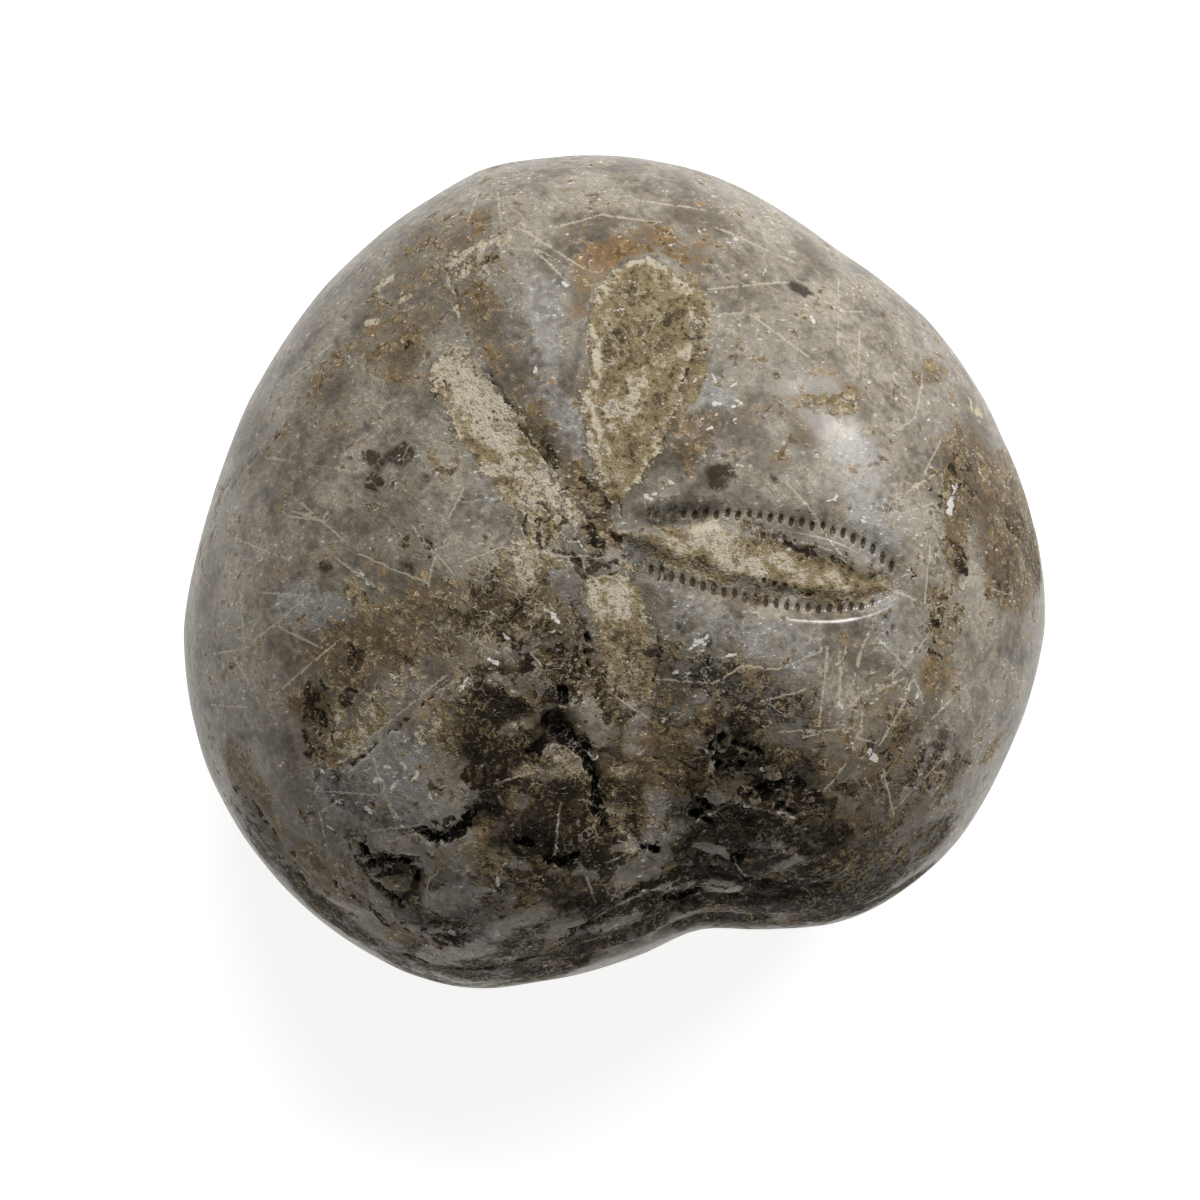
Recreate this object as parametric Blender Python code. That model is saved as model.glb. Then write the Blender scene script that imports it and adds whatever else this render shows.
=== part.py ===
"""Fossil heart urchin, a single polished stone lying on its flattened mouth side.

The frame is metres with +Z up. +Y runs from the notch at the front to the back end, and the
origin is the middle of the bounding box's base. The stone is modelled as a sphere of directions
from the middle of its girth: each direction is carried out to the smooth test, and the petals,
mouth, vent, grooves and broken hollows are then pressed in along the surface normal.
"""

import math
from typing import NamedTuple

import bmesh
import bpy
import numpy as np

MM = 0.001

# The whole test.
HEIGHT = 31.0 * MM
GIRTH_HEIGHT = 12.5 * MM
GIRTH_CENTRE = (0.38 * MM, 0.33 * MM)  # set so that the finished stone's box is centred on the origin
SOLE_DEPTH = 13.4 * MM  # how far the rounded underside would reach below the girth, before it is ground flat
DOME_POWER = 2.25  # 2 is an ellipse, and more is fuller in the shoulder
BACK_SQUARENESS = 0.7  # added to DOME_POWER towards the cut-off back end
SOLE_POWER = 2.6
UNDERSIDE = 0.5 * GIRTH_HEIGHT  # what lies below this belongs to the underside
# Plan radius of the girth at each number of degrees round from the back end, on the right and on the left.
OUTLINE = (
    (0, 23.5 * MM, 23.5 * MM),
    (30, 23.3 * MM, 22.9 * MM),
    (52, 22.8 * MM, 22.9 * MM),
    (70, 23.9 * MM, 23.6 * MM),
    (90, 24.8 * MM, 25.6 * MM),
    (110, 26.2 * MM, 26.8 * MM),
    (130, 26.5 * MM, 27.2 * MM),
    (147, 26.6 * MM, 26.7 * MM),
    (160, 25.7 * MM, 24.9 * MM),
    (170, 23.9 * MM, 23.6 * MM),
    (180, 22.6 * MM, 22.6 * MM),
)



class Petal(NamedTuple):
    """One arm of the star, from its foot near the apex. Bearings are degrees anticlockwise from +X."""

    foot_x: float
    foot_y: float
    bearing: float
    length: float
    half_width: float
    widest: float  # share of the length at which the petal is widest
    taper: float  # near 0 the foot is as broad as the middle, and at 1 it is narrow
    sunk: float


APEX = (-1.4 * MM, -1.6 * MM)
PETALS = {
    "front": Petal(-0.5 * MM, -3.6 * MM, -88.5, 7.5 * MM, 1.6 * MM, 0.5, 0.25, 0.5 * MM),
    "front_right": Petal(-0.6 * MM, -1.05 * MM, -21.5, 17.9 * MM, 2.85 * MM, 0.67, 0.5, 1.0 * MM),
    "back_right": Petal(0.7 * MM, 0.1 * MM, 66.0, 14.8 * MM, 3.0 * MM, 0.73, 0.6, 0.5 * MM),
    "back_left": Petal(-2.4 * MM, -0.3 * MM, 111.5, 11.9 * MM, 1.75 * MM, 0.5, 0.3, 0.5 * MM),
    "front_left": Petal(-3.0 * MM, -2.9 * MM, 197.5, 17.6 * MM, 2.4 * MM, 0.62, 0.4, 0.5 * MM),
}
OPEN_PETAL = "front_right"  # the one petal that isn't buried flush in sediment
RIM = (-0.3 * MM, 0.6 * MM)  # the rim slopes down from just outside the petal's edge to just inside it
FILL_RISE = (1.0 * MM, 1.9 * MM)  # the open petal's sediment rises from the pore strips to its middle
FILL_SHARE = 0.7  # how far the sediment comes back up towards the rim

# Broad swells between the petals, and the keel from the apex to the back end.
SWELL_HEIGHT = 0.4 * MM
SWELL_SPAN = (3.0 * MM, 9.0 * MM, 17.0 * MM, 24.0 * MM)
KEEL = {"across": -1.1 * MM, "half_width": 2.1 * MM, "height": 0.45 * MM, "from": 2.0 * MM, "to": 21.0 * MM}

# Underside and back end. Two grooves run back from the mouth, one each side of the breast plate.
MOUTH = {"x": 0.0 * MM, "y": -13.2 * MM, "half_width": 3.4 * MM, "half_length": 1.9 * MM, "push": -2.4 * MM}
LIP = {"x": 0.0 * MM, "y": -10.6 * MM, "half_width": 3.2 * MM, "half_length": 0.9 * MM, "push": 0.75 * MM}
MOUTH_BOW = 0.4  # how far the mouth's two ends sweep forward, in half lengths
SOLE_GROOVE = {"near": 2.6 * MM, "far": 8.6 * MM, "from": -11.6 * MM, "to": 13.4 * MM}
SOLE_GROOVE_HALF_WIDTH = 1.9 * MM
SOLE_GROOVE_DEPTH = 0.6 * MM
VENT = {"x": -0.1 * MM, "z": 17.5 * MM, "half_width": 2.1 * MM, "half_height": 2.8 * MM, "depth": 1.6 * MM}

# Broken ground at the front: hollows at (x, y) with a radius and a depth, and one crooked crack.
HOLLOWS = (
    (-5.2 * MM, -11.2 * MM, 1.6 * MM, 0.8 * MM),
    (3.6 * MM, -15.6 * MM, 1.8 * MM, 0.6 * MM),
    (7.2 * MM, -17.3 * MM, 1.8 * MM, 0.7 * MM),
    (-10.4 * MM, -14.6 * MM, 1.6 * MM, 0.6 * MM),
    (-15.4 * MM, -16.9 * MM, 1.9 * MM, 0.7 * MM),
)
CRACK_ROUTE = (
    (-4.5 * MM, -9.2 * MM),
    (-5.2 * MM, -11.0 * MM),
    (-4.5 * MM, -12.0 * MM),
    (-4.0 * MM, -13.5 * MM),
    (-4.2 * MM, -16.2 * MM),
    (-3.8 * MM, -18.2 * MM),
)
CRACK_HALF_WIDTH = 0.9 * MM
CRACK_DEPTH = 1.0 * MM
# Worn grooves round the front: (height in the middle, rise per metre sideways, depth).
LEDGES = ((18.6 * MM, 0.10, 0.55 * MM), (15.6 * MM, -0.06, 0.5 * MM))
LEDGE_HALF_WIDTH = 1.3 * MM
LEDGE_REACH = 12.0 * MM

# Mesh density: the whole, then the zones whose edges are halved once, and the narrow ones halved twice.
BASE_SUBDIVISIONS = 5
RIM_ZONE = (-0.8 * MM, 1.1 * MM)
SMOOTHINGS = 2  # passes that settle the relief onto the triangles
ALL_AXES = {"use_axis_x": True, "use_axis_y": True, "use_axis_z": True}

STONE_COLOUR = (0.235, 0.212, 0.178, 1.0)
STONE_ROUGHNESS = 0.42


def smoothstep(low, high, x):
    t = np.clip((x - low) / (high - low), 0, 1)
    return t * t * (3 - 2 * t)


def bump(x):
    """A smooth rise from 0 at |x| = 1 to 1 at x = 0."""
    return smoothstep(1, 0, np.abs(x))


def along_curve(points, x):
    """Value at x of the smooth curve through (position, value) points, level at both ends."""
    position, value = np.array(points, float).T
    slope = np.gradient(value, position)
    slope[[0, -1]] = 0
    i = np.clip(np.searchsorted(position, x, side="right") - 1, 0, len(position) - 2)
    step = position[i + 1] - position[i]
    t = np.clip((x - position[i]) / step, 0, 1)
    eased = t * t * (3 - 2 * t)
    bend = step * t * (1 - t) * (slope[i] * (1 - t) - slope[i + 1] * t)
    return value[i] * (1 - eased) + value[i + 1] * eased + bend


def smooth_test(directions):
    """Point of the plain heart-shaped test in each direction from the middle of its girth."""
    x, y, z = directions.T
    from_back = np.degrees(np.arctan2(x, y))
    right_half = [(bearing, right) for bearing, right, _ in OUTLINE]
    left_half = [(bearing, left) for bearing, _, left in OUTLINE]
    sides = along_curve(right_half, np.abs(from_back)), along_curve(left_half, np.abs(from_back))
    plan = np.where(from_back > 0, *sides)
    backness = np.clip(np.cos(np.radians(from_back)), 0, 1) ** 2
    above = z > 0
    tall = np.where(above, HEIGHT - GIRTH_HEIGHT, SOLE_DEPTH)
    power = np.where(above, DOME_POWER + BACK_SQUARENESS * backness, SOLE_POWER)
    inverse = (np.hypot(x, y) / plan) ** power + (np.abs(z) / tall) ** power
    return directions * (inverse ** (-1 / power))[:, None] + np.array([*GIRTH_CENTRE, GIRTH_HEIGHT])


def petal_place(points, petal):
    """Distance of each point along the petal from its foot, and across it from its middle line."""
    turn = math.radians(petal.bearing)
    x, y = points[:, 0] - petal.foot_x, points[:, 1] - petal.foot_y
    return x * math.cos(turn) + y * math.sin(turn), y * math.cos(turn) - x * math.sin(turn)


def inside_petal(points, petal):
    """How far each point is inside the petal's edge, negative outside it."""
    along, across = petal_place(points, petal)
    share = np.clip(along / petal.length, 0, 1)
    taper = np.sin(0.5 * math.pi * np.clip(share / petal.widest, 0, 1)) ** petal.taper
    round_end = np.sqrt(1 - np.clip((share - petal.widest) / (1 - petal.widest), 0, 1) ** 2)
    past_ends = np.maximum(along - petal.length, -along).clip(0)
    inside = petal.half_width * taper * round_end - np.abs(across) - past_ends
    return np.where(points[:, 2] > GIRTH_HEIGHT, inside, -HEIGHT)


def petal_relief(points):
    """The sunk petals, with sediment left standing in the open one."""
    relief = np.zeros(len(points))
    for name, petal in PETALS.items():
        inside = inside_petal(points, petal)
        sunk = smoothstep(*RIM, inside)
        if name == OPEN_PETAL:
            sunk -= FILL_SHARE * smoothstep(*FILL_RISE, inside)
        relief = np.minimum(relief, -petal.sunk * sunk)
    return relief


def swell_relief(points):
    """Low swells that fill the sectors between the petals, on the upper side."""
    x, y = points[:, 0] - APEX[0], points[:, 1] - APEX[1]
    bearing = np.degrees(np.arctan2(y, x)) % 360
    rays = sorted(petal.bearing % 360 for petal in PETALS.values())
    rays = [rays[-1] - 360, *rays, rays[0] + 360]
    share = np.interp(bearing, rays, range(len(rays))) % 1
    away = np.hypot(x, y)
    start, full, fade, end = SWELL_SPAN
    span = smoothstep(start, full, away) * smoothstep(end, fade, away)
    upper = smoothstep(GIRTH_HEIGHT, 1.4 * GIRTH_HEIGHT, points[:, 2])
    return SWELL_HEIGHT * np.sin(math.pi * share) ** 2 * span * upper


def keel_relief(points):
    x, y, z = points.T
    span = smoothstep(0, 0.3, (y - KEEL["from"]) / (KEEL["to"] - KEEL["from"]))
    upper = smoothstep(1.2 * GIRTH_HEIGHT, 2 * GIRTH_HEIGHT, z)
    return KEEL["height"] * bump((x - KEEL["across"]) / (2 * KEEL["half_width"])) * span * upper


def mouth_relief(points):
    """The kidney-shaped mouth under the front, and the lip that hangs over its back edge."""
    x, y, z = points.T
    relief = np.zeros(len(points))
    for shape in (MOUTH, LIP):
        across = (x - shape["x"]) / shape["half_width"]
        bowed = shape["y"] - MOUTH_BOW * shape["half_length"] * across**2
        relief += shape["push"] * smoothstep(1, 0.3, np.hypot(across, (y - bowed) / shape["half_length"]))
    return relief * (z < UNDERSIDE)


def sole_groove_relief(points):
    """Two grooves that leave the mouth together and part round the breast plate."""
    x, y, z = points.T
    share = (y - SOLE_GROOVE["from"]) / (SOLE_GROOVE["to"] - SOLE_GROOVE["from"])
    spread = SOLE_GROOVE["far"] - SOLE_GROOVE["near"]
    middle = SOLE_GROOVE["near"] + spread * smoothstep(0, 0.7, share)
    fade = smoothstep(0, 0.1, share) * smoothstep(1.2, 0.8, share)
    groove = bump((np.abs(x - MOUTH["x"]) - middle) / SOLE_GROOVE_HALF_WIDTH)
    return -SOLE_GROOVE_DEPTH * groove * fade * (z < UNDERSIDE)


def vent_relief(points):
    x, y, z = points.T
    from_middle = np.hypot((x - VENT["x"]) / VENT["half_width"], (z - VENT["z"]) / VENT["half_height"])
    return -VENT["depth"] * smoothstep(1, 0.3, from_middle) * (y > 0)


def hollow_relief(points):
    x, y, z = points.T
    relief = np.zeros(len(points))
    for middle_x, middle_y, radius, depth in HOLLOWS:
        relief -= depth * bump(np.hypot(x - middle_x, y - middle_y) / radius)
    return relief * (z > GIRTH_HEIGHT)


def distance_to_route(points, route):
    """Distance in plan from each point to a broken line."""
    nearest = np.full(len(points), np.inf)
    for start, end in zip(np.array(route[:-1]), np.array(route[1:])):
        run = end - start
        share = np.clip(((points[:, :2] - start) @ run) / (run @ run), 0, 1)
        gap = points[:, :2] - start - share[:, None] * run
        nearest = np.minimum(nearest, np.hypot(gap[:, 0], gap[:, 1]))
    return nearest


def crack_relief(points):
    upper = points[:, 2] > GIRTH_HEIGHT
    return -CRACK_DEPTH * bump(distance_to_route(points, CRACK_ROUTE) / CRACK_HALF_WIDTH) * upper


def ledge_relief(points):
    """Grooves worn round the front, one above the other, fading out to each side."""
    x, y, z = points.T
    front = smoothstep(-14 * MM, -18 * MM, y) * smoothstep(LEDGE_REACH, 0.5 * LEDGE_REACH, np.abs(x))
    relief = np.zeros(len(points))
    for height, rise, depth in LEDGES:
        relief -= depth * bump((z - height - rise * x) / LEDGE_HALF_WIDTH)
    return relief * front


def relief_of(points):
    """How far each point of the smooth test is pushed out along its normal."""
    upper = swell_relief(points) + keel_relief(points) + petal_relief(points)
    broken = hollow_relief(points) + crack_relief(points) + ledge_relief(points)
    return upper + broken + mouth_relief(points) + vent_relief(points)


def near_petal(points, low, high):
    """True where a point's distance inside any petal's edge is between low and high."""
    inside = np.array([inside_petal(points, petal) for petal in PETALS.values()])
    return ((inside > low) & (inside < high)).any(axis=0)


def near_crack(points, half_widths):
    gap = distance_to_route(points, CRACK_ROUTE)
    return (gap < half_widths * CRACK_HALF_WIDTH) & (points[:, 2] > GIRTH_HEIGHT)


def fine_zone(points):
    """True in and round the petals and the crack, and wherever else there is narrow relief."""
    narrow = (hollow_relief, ledge_relief, mouth_relief, sole_groove_relief, vent_relief)
    wanted = near_petal(points, RIM_ZONE[0], HEIGHT) | near_crack(points, 2)
    for relief in narrow:
        wanted |= relief(points) != 0
    return wanted


def finest_zone(points):
    """True along the rims of the petals, in the crack and in the vent."""
    return near_petal(points, *RIM_ZONE) | near_crack(points, 1.3) | (vent_relief(points) < 0)


def unit_positions(mesh):
    """The mesh's vertices as unit directions."""
    found = np.array([vert.co for vert in mesh.verts])
    return found / np.linalg.norm(found, axis=1)[:, None]


def refine(mesh, zone):
    """Halves every edge whose two ends lie in the zone, and brings the new vertices back to the sphere."""
    wanted = zone(smooth_test(unit_positions(mesh)))
    edges = [edge for edge in mesh.edges if all(wanted[vert.index] for vert in edge.verts)]
    bmesh.ops.subdivide_edges(mesh, edges=edges, cuts=1, use_grid_fill=True)
    bmesh.ops.triangulate(mesh, faces=[face for face in mesh.faces if len(face.verts) > 3])
    for vert in mesh.verts:
        vert.co.normalize()
    mesh.verts.index_update()


def direction_sphere():
    """A sphere of triangles, finer where the stone has relief and finest where that is narrow."""
    mesh = bmesh.new()
    bmesh.ops.create_icosphere(mesh, subdivisions=BASE_SUBDIVISIONS, radius=1)
    mesh.verts.index_update()
    for zone in (fine_zone, finest_zone):
        refine(mesh, zone)
    return mesh


def place(mesh, points):
    for vert, point in zip(mesh.verts, points):
        vert.co = point


def build_test():
    """The whole stone as one bmesh, with its sole ground flat."""
    mesh = direction_sphere()
    points = smooth_test(unit_positions(mesh))
    place(mesh, points)
    mesh.normal_update()
    normals = np.array([vert.normal for vert in mesh.verts])
    soft = [vert for vert, wanted in zip(mesh.verts, fine_zone(points)) if wanted]
    groove = sole_groove_relief(points)
    points += normals * relief_of(points)[:, None]
    place(mesh, points)
    for _ in range(SMOOTHINGS):
        bmesh.ops.smooth_vert(mesh, verts=soft, factor=0.5, **ALL_AXES)
    points = np.array([vert.co for vert in mesh.verts])
    points[:, 2] = np.maximum(points[:, 2], 0) - groove
    place(mesh, points)
    return mesh


def stone_material():
    """Grey calcite with a worn polish."""
    material = bpy.data.materials.new("polished_stone")
    material.use_nodes = True
    shader = material.node_tree.nodes["Principled BSDF"]
    shader.inputs["Base Color"].default_value = STONE_COLOUR
    shader.inputs["Roughness"].default_value = STONE_ROUGHNESS
    shader.inputs["Metallic"].default_value = 0
    return material


def main():
    for leftover in list(bpy.data.objects):
        bpy.data.objects.remove(leftover)
    collection = bpy.data.collections.new("fossil_heart_urchin")
    bpy.context.scene.collection.children.link(collection)
    data = bpy.data.meshes.new("urchin_test")
    mesh = build_test()
    mesh.to_mesh(data)
    mesh.free()
    data.shade_smooth()
    data.materials.append(stone_material())
    collection.objects.link(bpy.data.objects.new("urchin_test", data))


if __name__ == "__main__":
    main()
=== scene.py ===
"""Dressed model of a fossil heart urchin: a polished grey stone with a star of petals on top.

Lengths in the shape and paint code are millimetres in the frame of the CAD model, with +Z up and +Y
from the notch at the front to the back end. They become metres when the mesh is written.
"""

import math
from typing import NamedTuple

import bmesh
import bpy
import numpy as np
from bpy.props import FloatProperty, FloatVectorProperty, IntProperty, PointerProperty
from mathutils import Matrix, Vector, noise


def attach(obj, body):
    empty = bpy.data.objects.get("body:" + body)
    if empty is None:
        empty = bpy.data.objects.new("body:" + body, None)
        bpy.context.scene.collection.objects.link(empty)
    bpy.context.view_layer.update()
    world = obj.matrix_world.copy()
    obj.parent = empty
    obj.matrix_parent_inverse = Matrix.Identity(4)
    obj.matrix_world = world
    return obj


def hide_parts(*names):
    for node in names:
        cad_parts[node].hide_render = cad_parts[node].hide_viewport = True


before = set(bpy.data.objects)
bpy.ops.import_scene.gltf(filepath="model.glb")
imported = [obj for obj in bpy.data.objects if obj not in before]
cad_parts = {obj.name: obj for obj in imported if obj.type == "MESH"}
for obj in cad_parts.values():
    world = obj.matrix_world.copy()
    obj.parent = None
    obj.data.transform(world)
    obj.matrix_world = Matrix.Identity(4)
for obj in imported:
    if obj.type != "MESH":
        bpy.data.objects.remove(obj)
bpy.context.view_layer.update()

bl_info = {
    "name": "Fossil heart urchin",
    "version": (1, 0, 0),
    "blender": (4, 5, 0),
    "location": "View3D > Sidebar > Fossil",
    "description": "Builds a polished fossil heart urchin and a plain stage for it",
    "category": "Object",
}

NODE = "urchin_test"
MM = 0.001
MAX_TRIANGLES = 200_000

# The whole test.
GIRTH_CENTRE = (0.38, 0.33)
BACK_SQUARENESS = 0.7
DOME_POWER = 2.25
SOLE_POWER = 2.6
# Plan radius of the girth at each number of degrees round from the back end, on the right and on the left.
OUTLINE = (
    (0, 23.5, 23.5),
    (30, 23.3, 22.9),
    (52, 22.8, 22.9),
    (70, 23.9, 23.6),
    (90, 24.8, 25.6),
    (110, 26.2, 26.8),
    (130, 26.5, 27.2),
    (147, 26.6, 26.7),
    (160, 25.7, 24.9),
    (170, 23.9, 23.6),
    (180, 22.6, 22.6),
)
UPPER_SIDE = 12.5  # petals, swells, hollows and the crack are only above this height
UNDERSIDE = 6.25  # the mouth and its grooves are only below this height


class Petal(NamedTuple):
    """One arm of the star, from its foot near the apex. Bearings are degrees anticlockwise from +X."""

    foot_x: float
    foot_y: float
    bearing: float
    length: float
    half_width: float
    widest: float  # share of the length at which the petal is widest
    taper: float  # near 0 the foot is as broad as the middle, and at 1 it is narrow
    sunk: float


APEX = (-1.4, -1.6)
PETALS = {
    "front": Petal(-0.5, -3.6, -88.5, 7.5, 1.6, 0.5, 0.25, 0.05),
    "front_right": Petal(-0.6, -1.05, -21.5, 17.6, 2.85, 0.67, 0.5, 0.34),
    "back_right": Petal(0.7, 0.1, 66.0, 14.8, 3.0, 0.73, 0.6, 0.05),
    "back_left": Petal(-2.4, -0.3, 111.5, 11.9, 1.75, 0.5, 0.3, 0.05),
    "front_left": Petal(-3.0, -2.9, 197.5, 17.6, 2.4, 0.62, 0.4, 0.04),
}
OPEN_PETAL = "front_right"  # the one petal that isn't buried flush in sediment
OPEN_SLANT = 0.4  # how much further out its left side reaches than its right
OPEN_BEND = 0.5
SEDIMENT_PETALS = ("front", "back_right", "back_left")  # filled with paler sediment from edge to edge
RIM = (-0.55, 0.45)  # the rim slopes down from just outside the petal's edge to just inside it
FOOT_FADE = (0.5, 4.0)  # a petal sinks between these distances from its foot
FILL_RISE = (0.95, 1.75)  # the open petal's sediment rises from the pore strips to its middle
FILL_SHARE = 0.8
FAR_OUTSIDE = 30.0  # the distance from a petal that points below the upper side are given


class PoreRow(NamedTuple):
    """One row of pores down each side of the open petal."""

    depth_inside: float  # distance from the petal's edge to the row
    half_along: float
    half_across: float
    start: float  # the row starts, is full, fades and ends at these distances along the petal
    full: float
    fade: float
    end: float
    patchiness: float  # 0 is an even row, and at 1 it has gaps


PORE_ROWS = (
    PoreRow(0.42, 0.17, 0.32, 2.4, 4.4, 16.6, 17.2, 0.0),
    PoreRow(1.5, 0.16, 0.19, 6.5, 8.0, 13.6, 14.6, 0.45),
)
PORE_LAG = 0.37  # offset of the pores on the right side from those on the left, in pitches
PORE_UNEVENNESS = 0.06

# Broad swells between the petals, which start, are full, fade and end at these distances from the apex,
# and the keel from the apex to the back end.
SWELL_HEIGHT = 0.4
SWELL_SPAN = (3.0, 9.0, 17.0, 24.0)
SWELL_FADE = 5.0  # height above the start of the upper side at which the swells are full
KEEL = {"across": -1.1, "half_width": 2.1, "height": 0.35, "from": 2.0, "to": 21.0, "fade": (15, 25)}

# Underside and back end. Two grooves run back from the mouth, one each side of the breast plate.
MOUTH = {"x": 0.0, "y": -13.2, "half_width": 3.4, "half_length": 1.9, "push": -2.4}
LIP = {"x": 0.0, "y": -10.6, "half_width": 3.2, "half_length": 0.9, "push": 0.75}
MOUTH_BOW = 0.4  # how far the mouth's two ends sweep forward, in half lengths
SOLE_GROOVE = {"near": 2.6, "far": 8.6, "from": -11.6, "to": 13.4, "half_width": 1.9, "depth": 0.6}
VENT = {"x": -0.1, "z": 17.5, "half_width": 2.1, "half_height": 2.8, "depth": 1.6}

# Broken ground at the front: hollows at (x, y) with a radius and a depth, and one crooked crack.
HOLLOWS = (
    (-5.2, -11.2, 1.6, 0.8),
    (3.6, -15.6, 1.8, 0.6),
    (7.2, -17.3, 1.8, 0.7),
    (-10.4, -14.6, 1.6, 0.6),
    (-15.4, -16.9, 1.9, 0.7),
)
CRACK_ROUTE = ((-4.5, -9.2), (-5.2, -11.0), (-4.5, -12.0), (-4.0, -13.5), (-4.2, -16.2), (-3.8, -18.2))
CRACK_HALF_WIDTH = 0.6
CRACK_DEPTH = 0.08
# Worn grooves round the front: (height in the middle, rise per metre sideways, depth).
LEDGES = ((18.6, 0.10, 0.4), (15.6, -0.06, 0.4))
LEDGE_HALF_WIDTH = 1.2
LEDGE_REACH = 12.0
LEDGE_FADE = (-14.0, -18.0)  # they deepen towards the front between these two

# Fine relief: the size of its lumps, and its height or depth.
GRIT_SIZE = 0.9
GRIT_HEIGHT = 0.06
STEP_SIZE = 2.0
WEAR_SIZE = 4.5
WEAR_DEPTH = 0.07
PIT_DEPTH = 0.3
CUT_DEPTH = 0.1

# Where the mesh is made finer.
UPPER_MESH = 10.5  # once above this height
PETAL_MARGIN = 0.6  # again as far as this outside the petals
FINE_MARGIN = 0.9  # and round the crisp marks
FINE_BOXES = (  # and in the boxes between left, right, front and back, above the lowest height
    (-30, 13, -30, -7, 15),
    (-30, -9, -30, -1, 15),
    (-30, -2, 11, 30, 22),
)
FINE_ROUND = (-2.5, -1.0, 5)  # and round the apex: x, y and the radius
FINEST_MARGIN = 0.25  # once more round the crisp marks
PORE_BAND = (-0.4, 2.0)  # and between these distances inside the open petal's edge

# The camera, in millimetres and degrees, and the width and height that its picture is taken to have.
TARGET = (0.0, 0.0, 15.0)
AZIMUTH = -14.0
ELEVATION = 80.0
AWAY = 330.0
LENS = 167.8
SENSOR = 36.0
SHIFT_UP = -0.0335
FRAME = 1200
CLIP = (0.01, 10)  # the nearest and the furthest that it sees, in metres

# Places and widths of the lights, in metres.
SIDE_LIGHT = (0.52, 0.19, 0.44)
SIDE_LIGHT_SIZE = 0.2
BACK_LIGHT = (0.09, 0.42, 0.57)
BACK_LIGHT_SIZE = 0.3

# How far noise moves the edges of the marks, and the size of its lumps.
WANDER = ((0.45, 1.9), (0.2, 0.6))
CRISP_WANDER = ((0.22, 0.9), (0.16, 0.35))
FADE_WANDER = (1.6, 6.0)
SEEN_ABOVE = 11.0  # marks are laid on the stone above this height
HAIRLINE_REACH = 5.0  # the furthest from a hairline that its distance is measured

# Marks on the upper side, laid on the stone along the places where the camera sees them in its picture.
# Each is (radius in millimetres, strength, place, place, ...), and a place is (across, down) from the
# picture's top left corner.
# Palest sediment, crumbly.
CHALK = (
    (1.25, 1, (462, 372), (484, 412), (500, 436)),
    (0.6, 0.4, (350, 738), (366, 722)),
    (1.1, 0.5, (500, 440), (520, 470)),
    (0.5, 0.55, (566, 505), (580, 514), (562, 530)),
    (0.2, 0.8, (516, 518), (518, 526)),
    (0.25, 0.75, (532, 526), (540, 534)),
    (0.25, 0.85, (550, 547), (541, 560)),
    (0.2, 0.8, (528, 596), (545, 612)),
    (0.25, 0.8, (551, 612), (556, 624)),
    (0.4, 0.5, (553, 756), (570, 764)),
    (0.2, 0.8, (338, 714), (342, 740), (352, 758), (366, 750)),
    (0.2, 0.8, (586, 848), (600, 842)),
    (0.2, 0.8, (622, 832), (638, 847), (612, 849)),
    (0.18, 0.75, (484, 640), (492, 650)),
    (0.2, 0.7, (490, 700), (484, 712)),
    (0.2, 0.7, (478, 636), (470, 628)),
    (0.18, 0.7, (404, 592), (398, 602)),
    (0.15, 0.7, (404, 577), (424, 584), (418, 596)),
    (0.9, 0.95, (536, 494), (548, 478)),
    (0.6, 0.9, (520, 548), (526, 580)),
    (0.4, 0.8, (548, 505), (560, 518)),
    (0.35, 0.7, (540, 540), (548, 552)),
    (0.95, 0.9, (600, 598), (614, 604)),
    (0.9, 0.95, (706, 530), (730, 552)),
    (0.6, 0.95, (735, 560), (765, 574)),
    (0.35, 0.7, (692, 546), (672, 541)),
    (0.45, 0.8, (775, 562), (800, 573)),
    (0.35, 0.65, (820, 578), (848, 585)),
    (0.3, 0.7, (752, 526), (742, 532)),
    (1, 0.55, (632, 385), (622, 420)),
    (0.7, 0.4, (640, 375), (655, 368)),
    (0.3, 0.75, (592, 300), (604, 282), (620, 268), (650, 262), (680, 274), (698, 300)),
    (0.25, 0.95, (592, 330), (594, 370), (598, 425), (612, 448)),
    (0.25, 0.7, (708, 310), (702, 340), (684, 352)),
    (0.25, 0.7, (684, 352), (664, 368), (650, 372)),
    (0.45, 1, (462, 688), (474, 676)),
    (0.5, 0.6, (424, 735), (440, 722)),
    (0.35, 1, (454, 266), (466, 256), (484, 250)),
    (0.28, 1, (461, 278), (478, 263), (500, 243)),
    (0.3, 0.95, (379, 286), (390, 277)),
    (0.28, 0.9, (399, 303), (410, 297)),
    (0.25, 0.9, (367, 325), (377, 318)),
    (0.2, 0.9, (423, 264), (440, 258), (456, 255)),
    (0.18, 0.9, (453, 285), (457, 300), (461, 318)),
    (0.22, 0.9, (486, 262), (492, 276)),
    (0.25, 0.8, (505, 250), (514, 242)),
    (0.25, 0.8, (903, 494), (924, 479)),
    (0.3, 0.7, (966, 392), (975, 411), (990, 431)),
    (0.3, 0.45, (527, 766), (552, 760), (570, 775)),
    (0.3, 0.5, (612, 836), (630, 842)),
)
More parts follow.
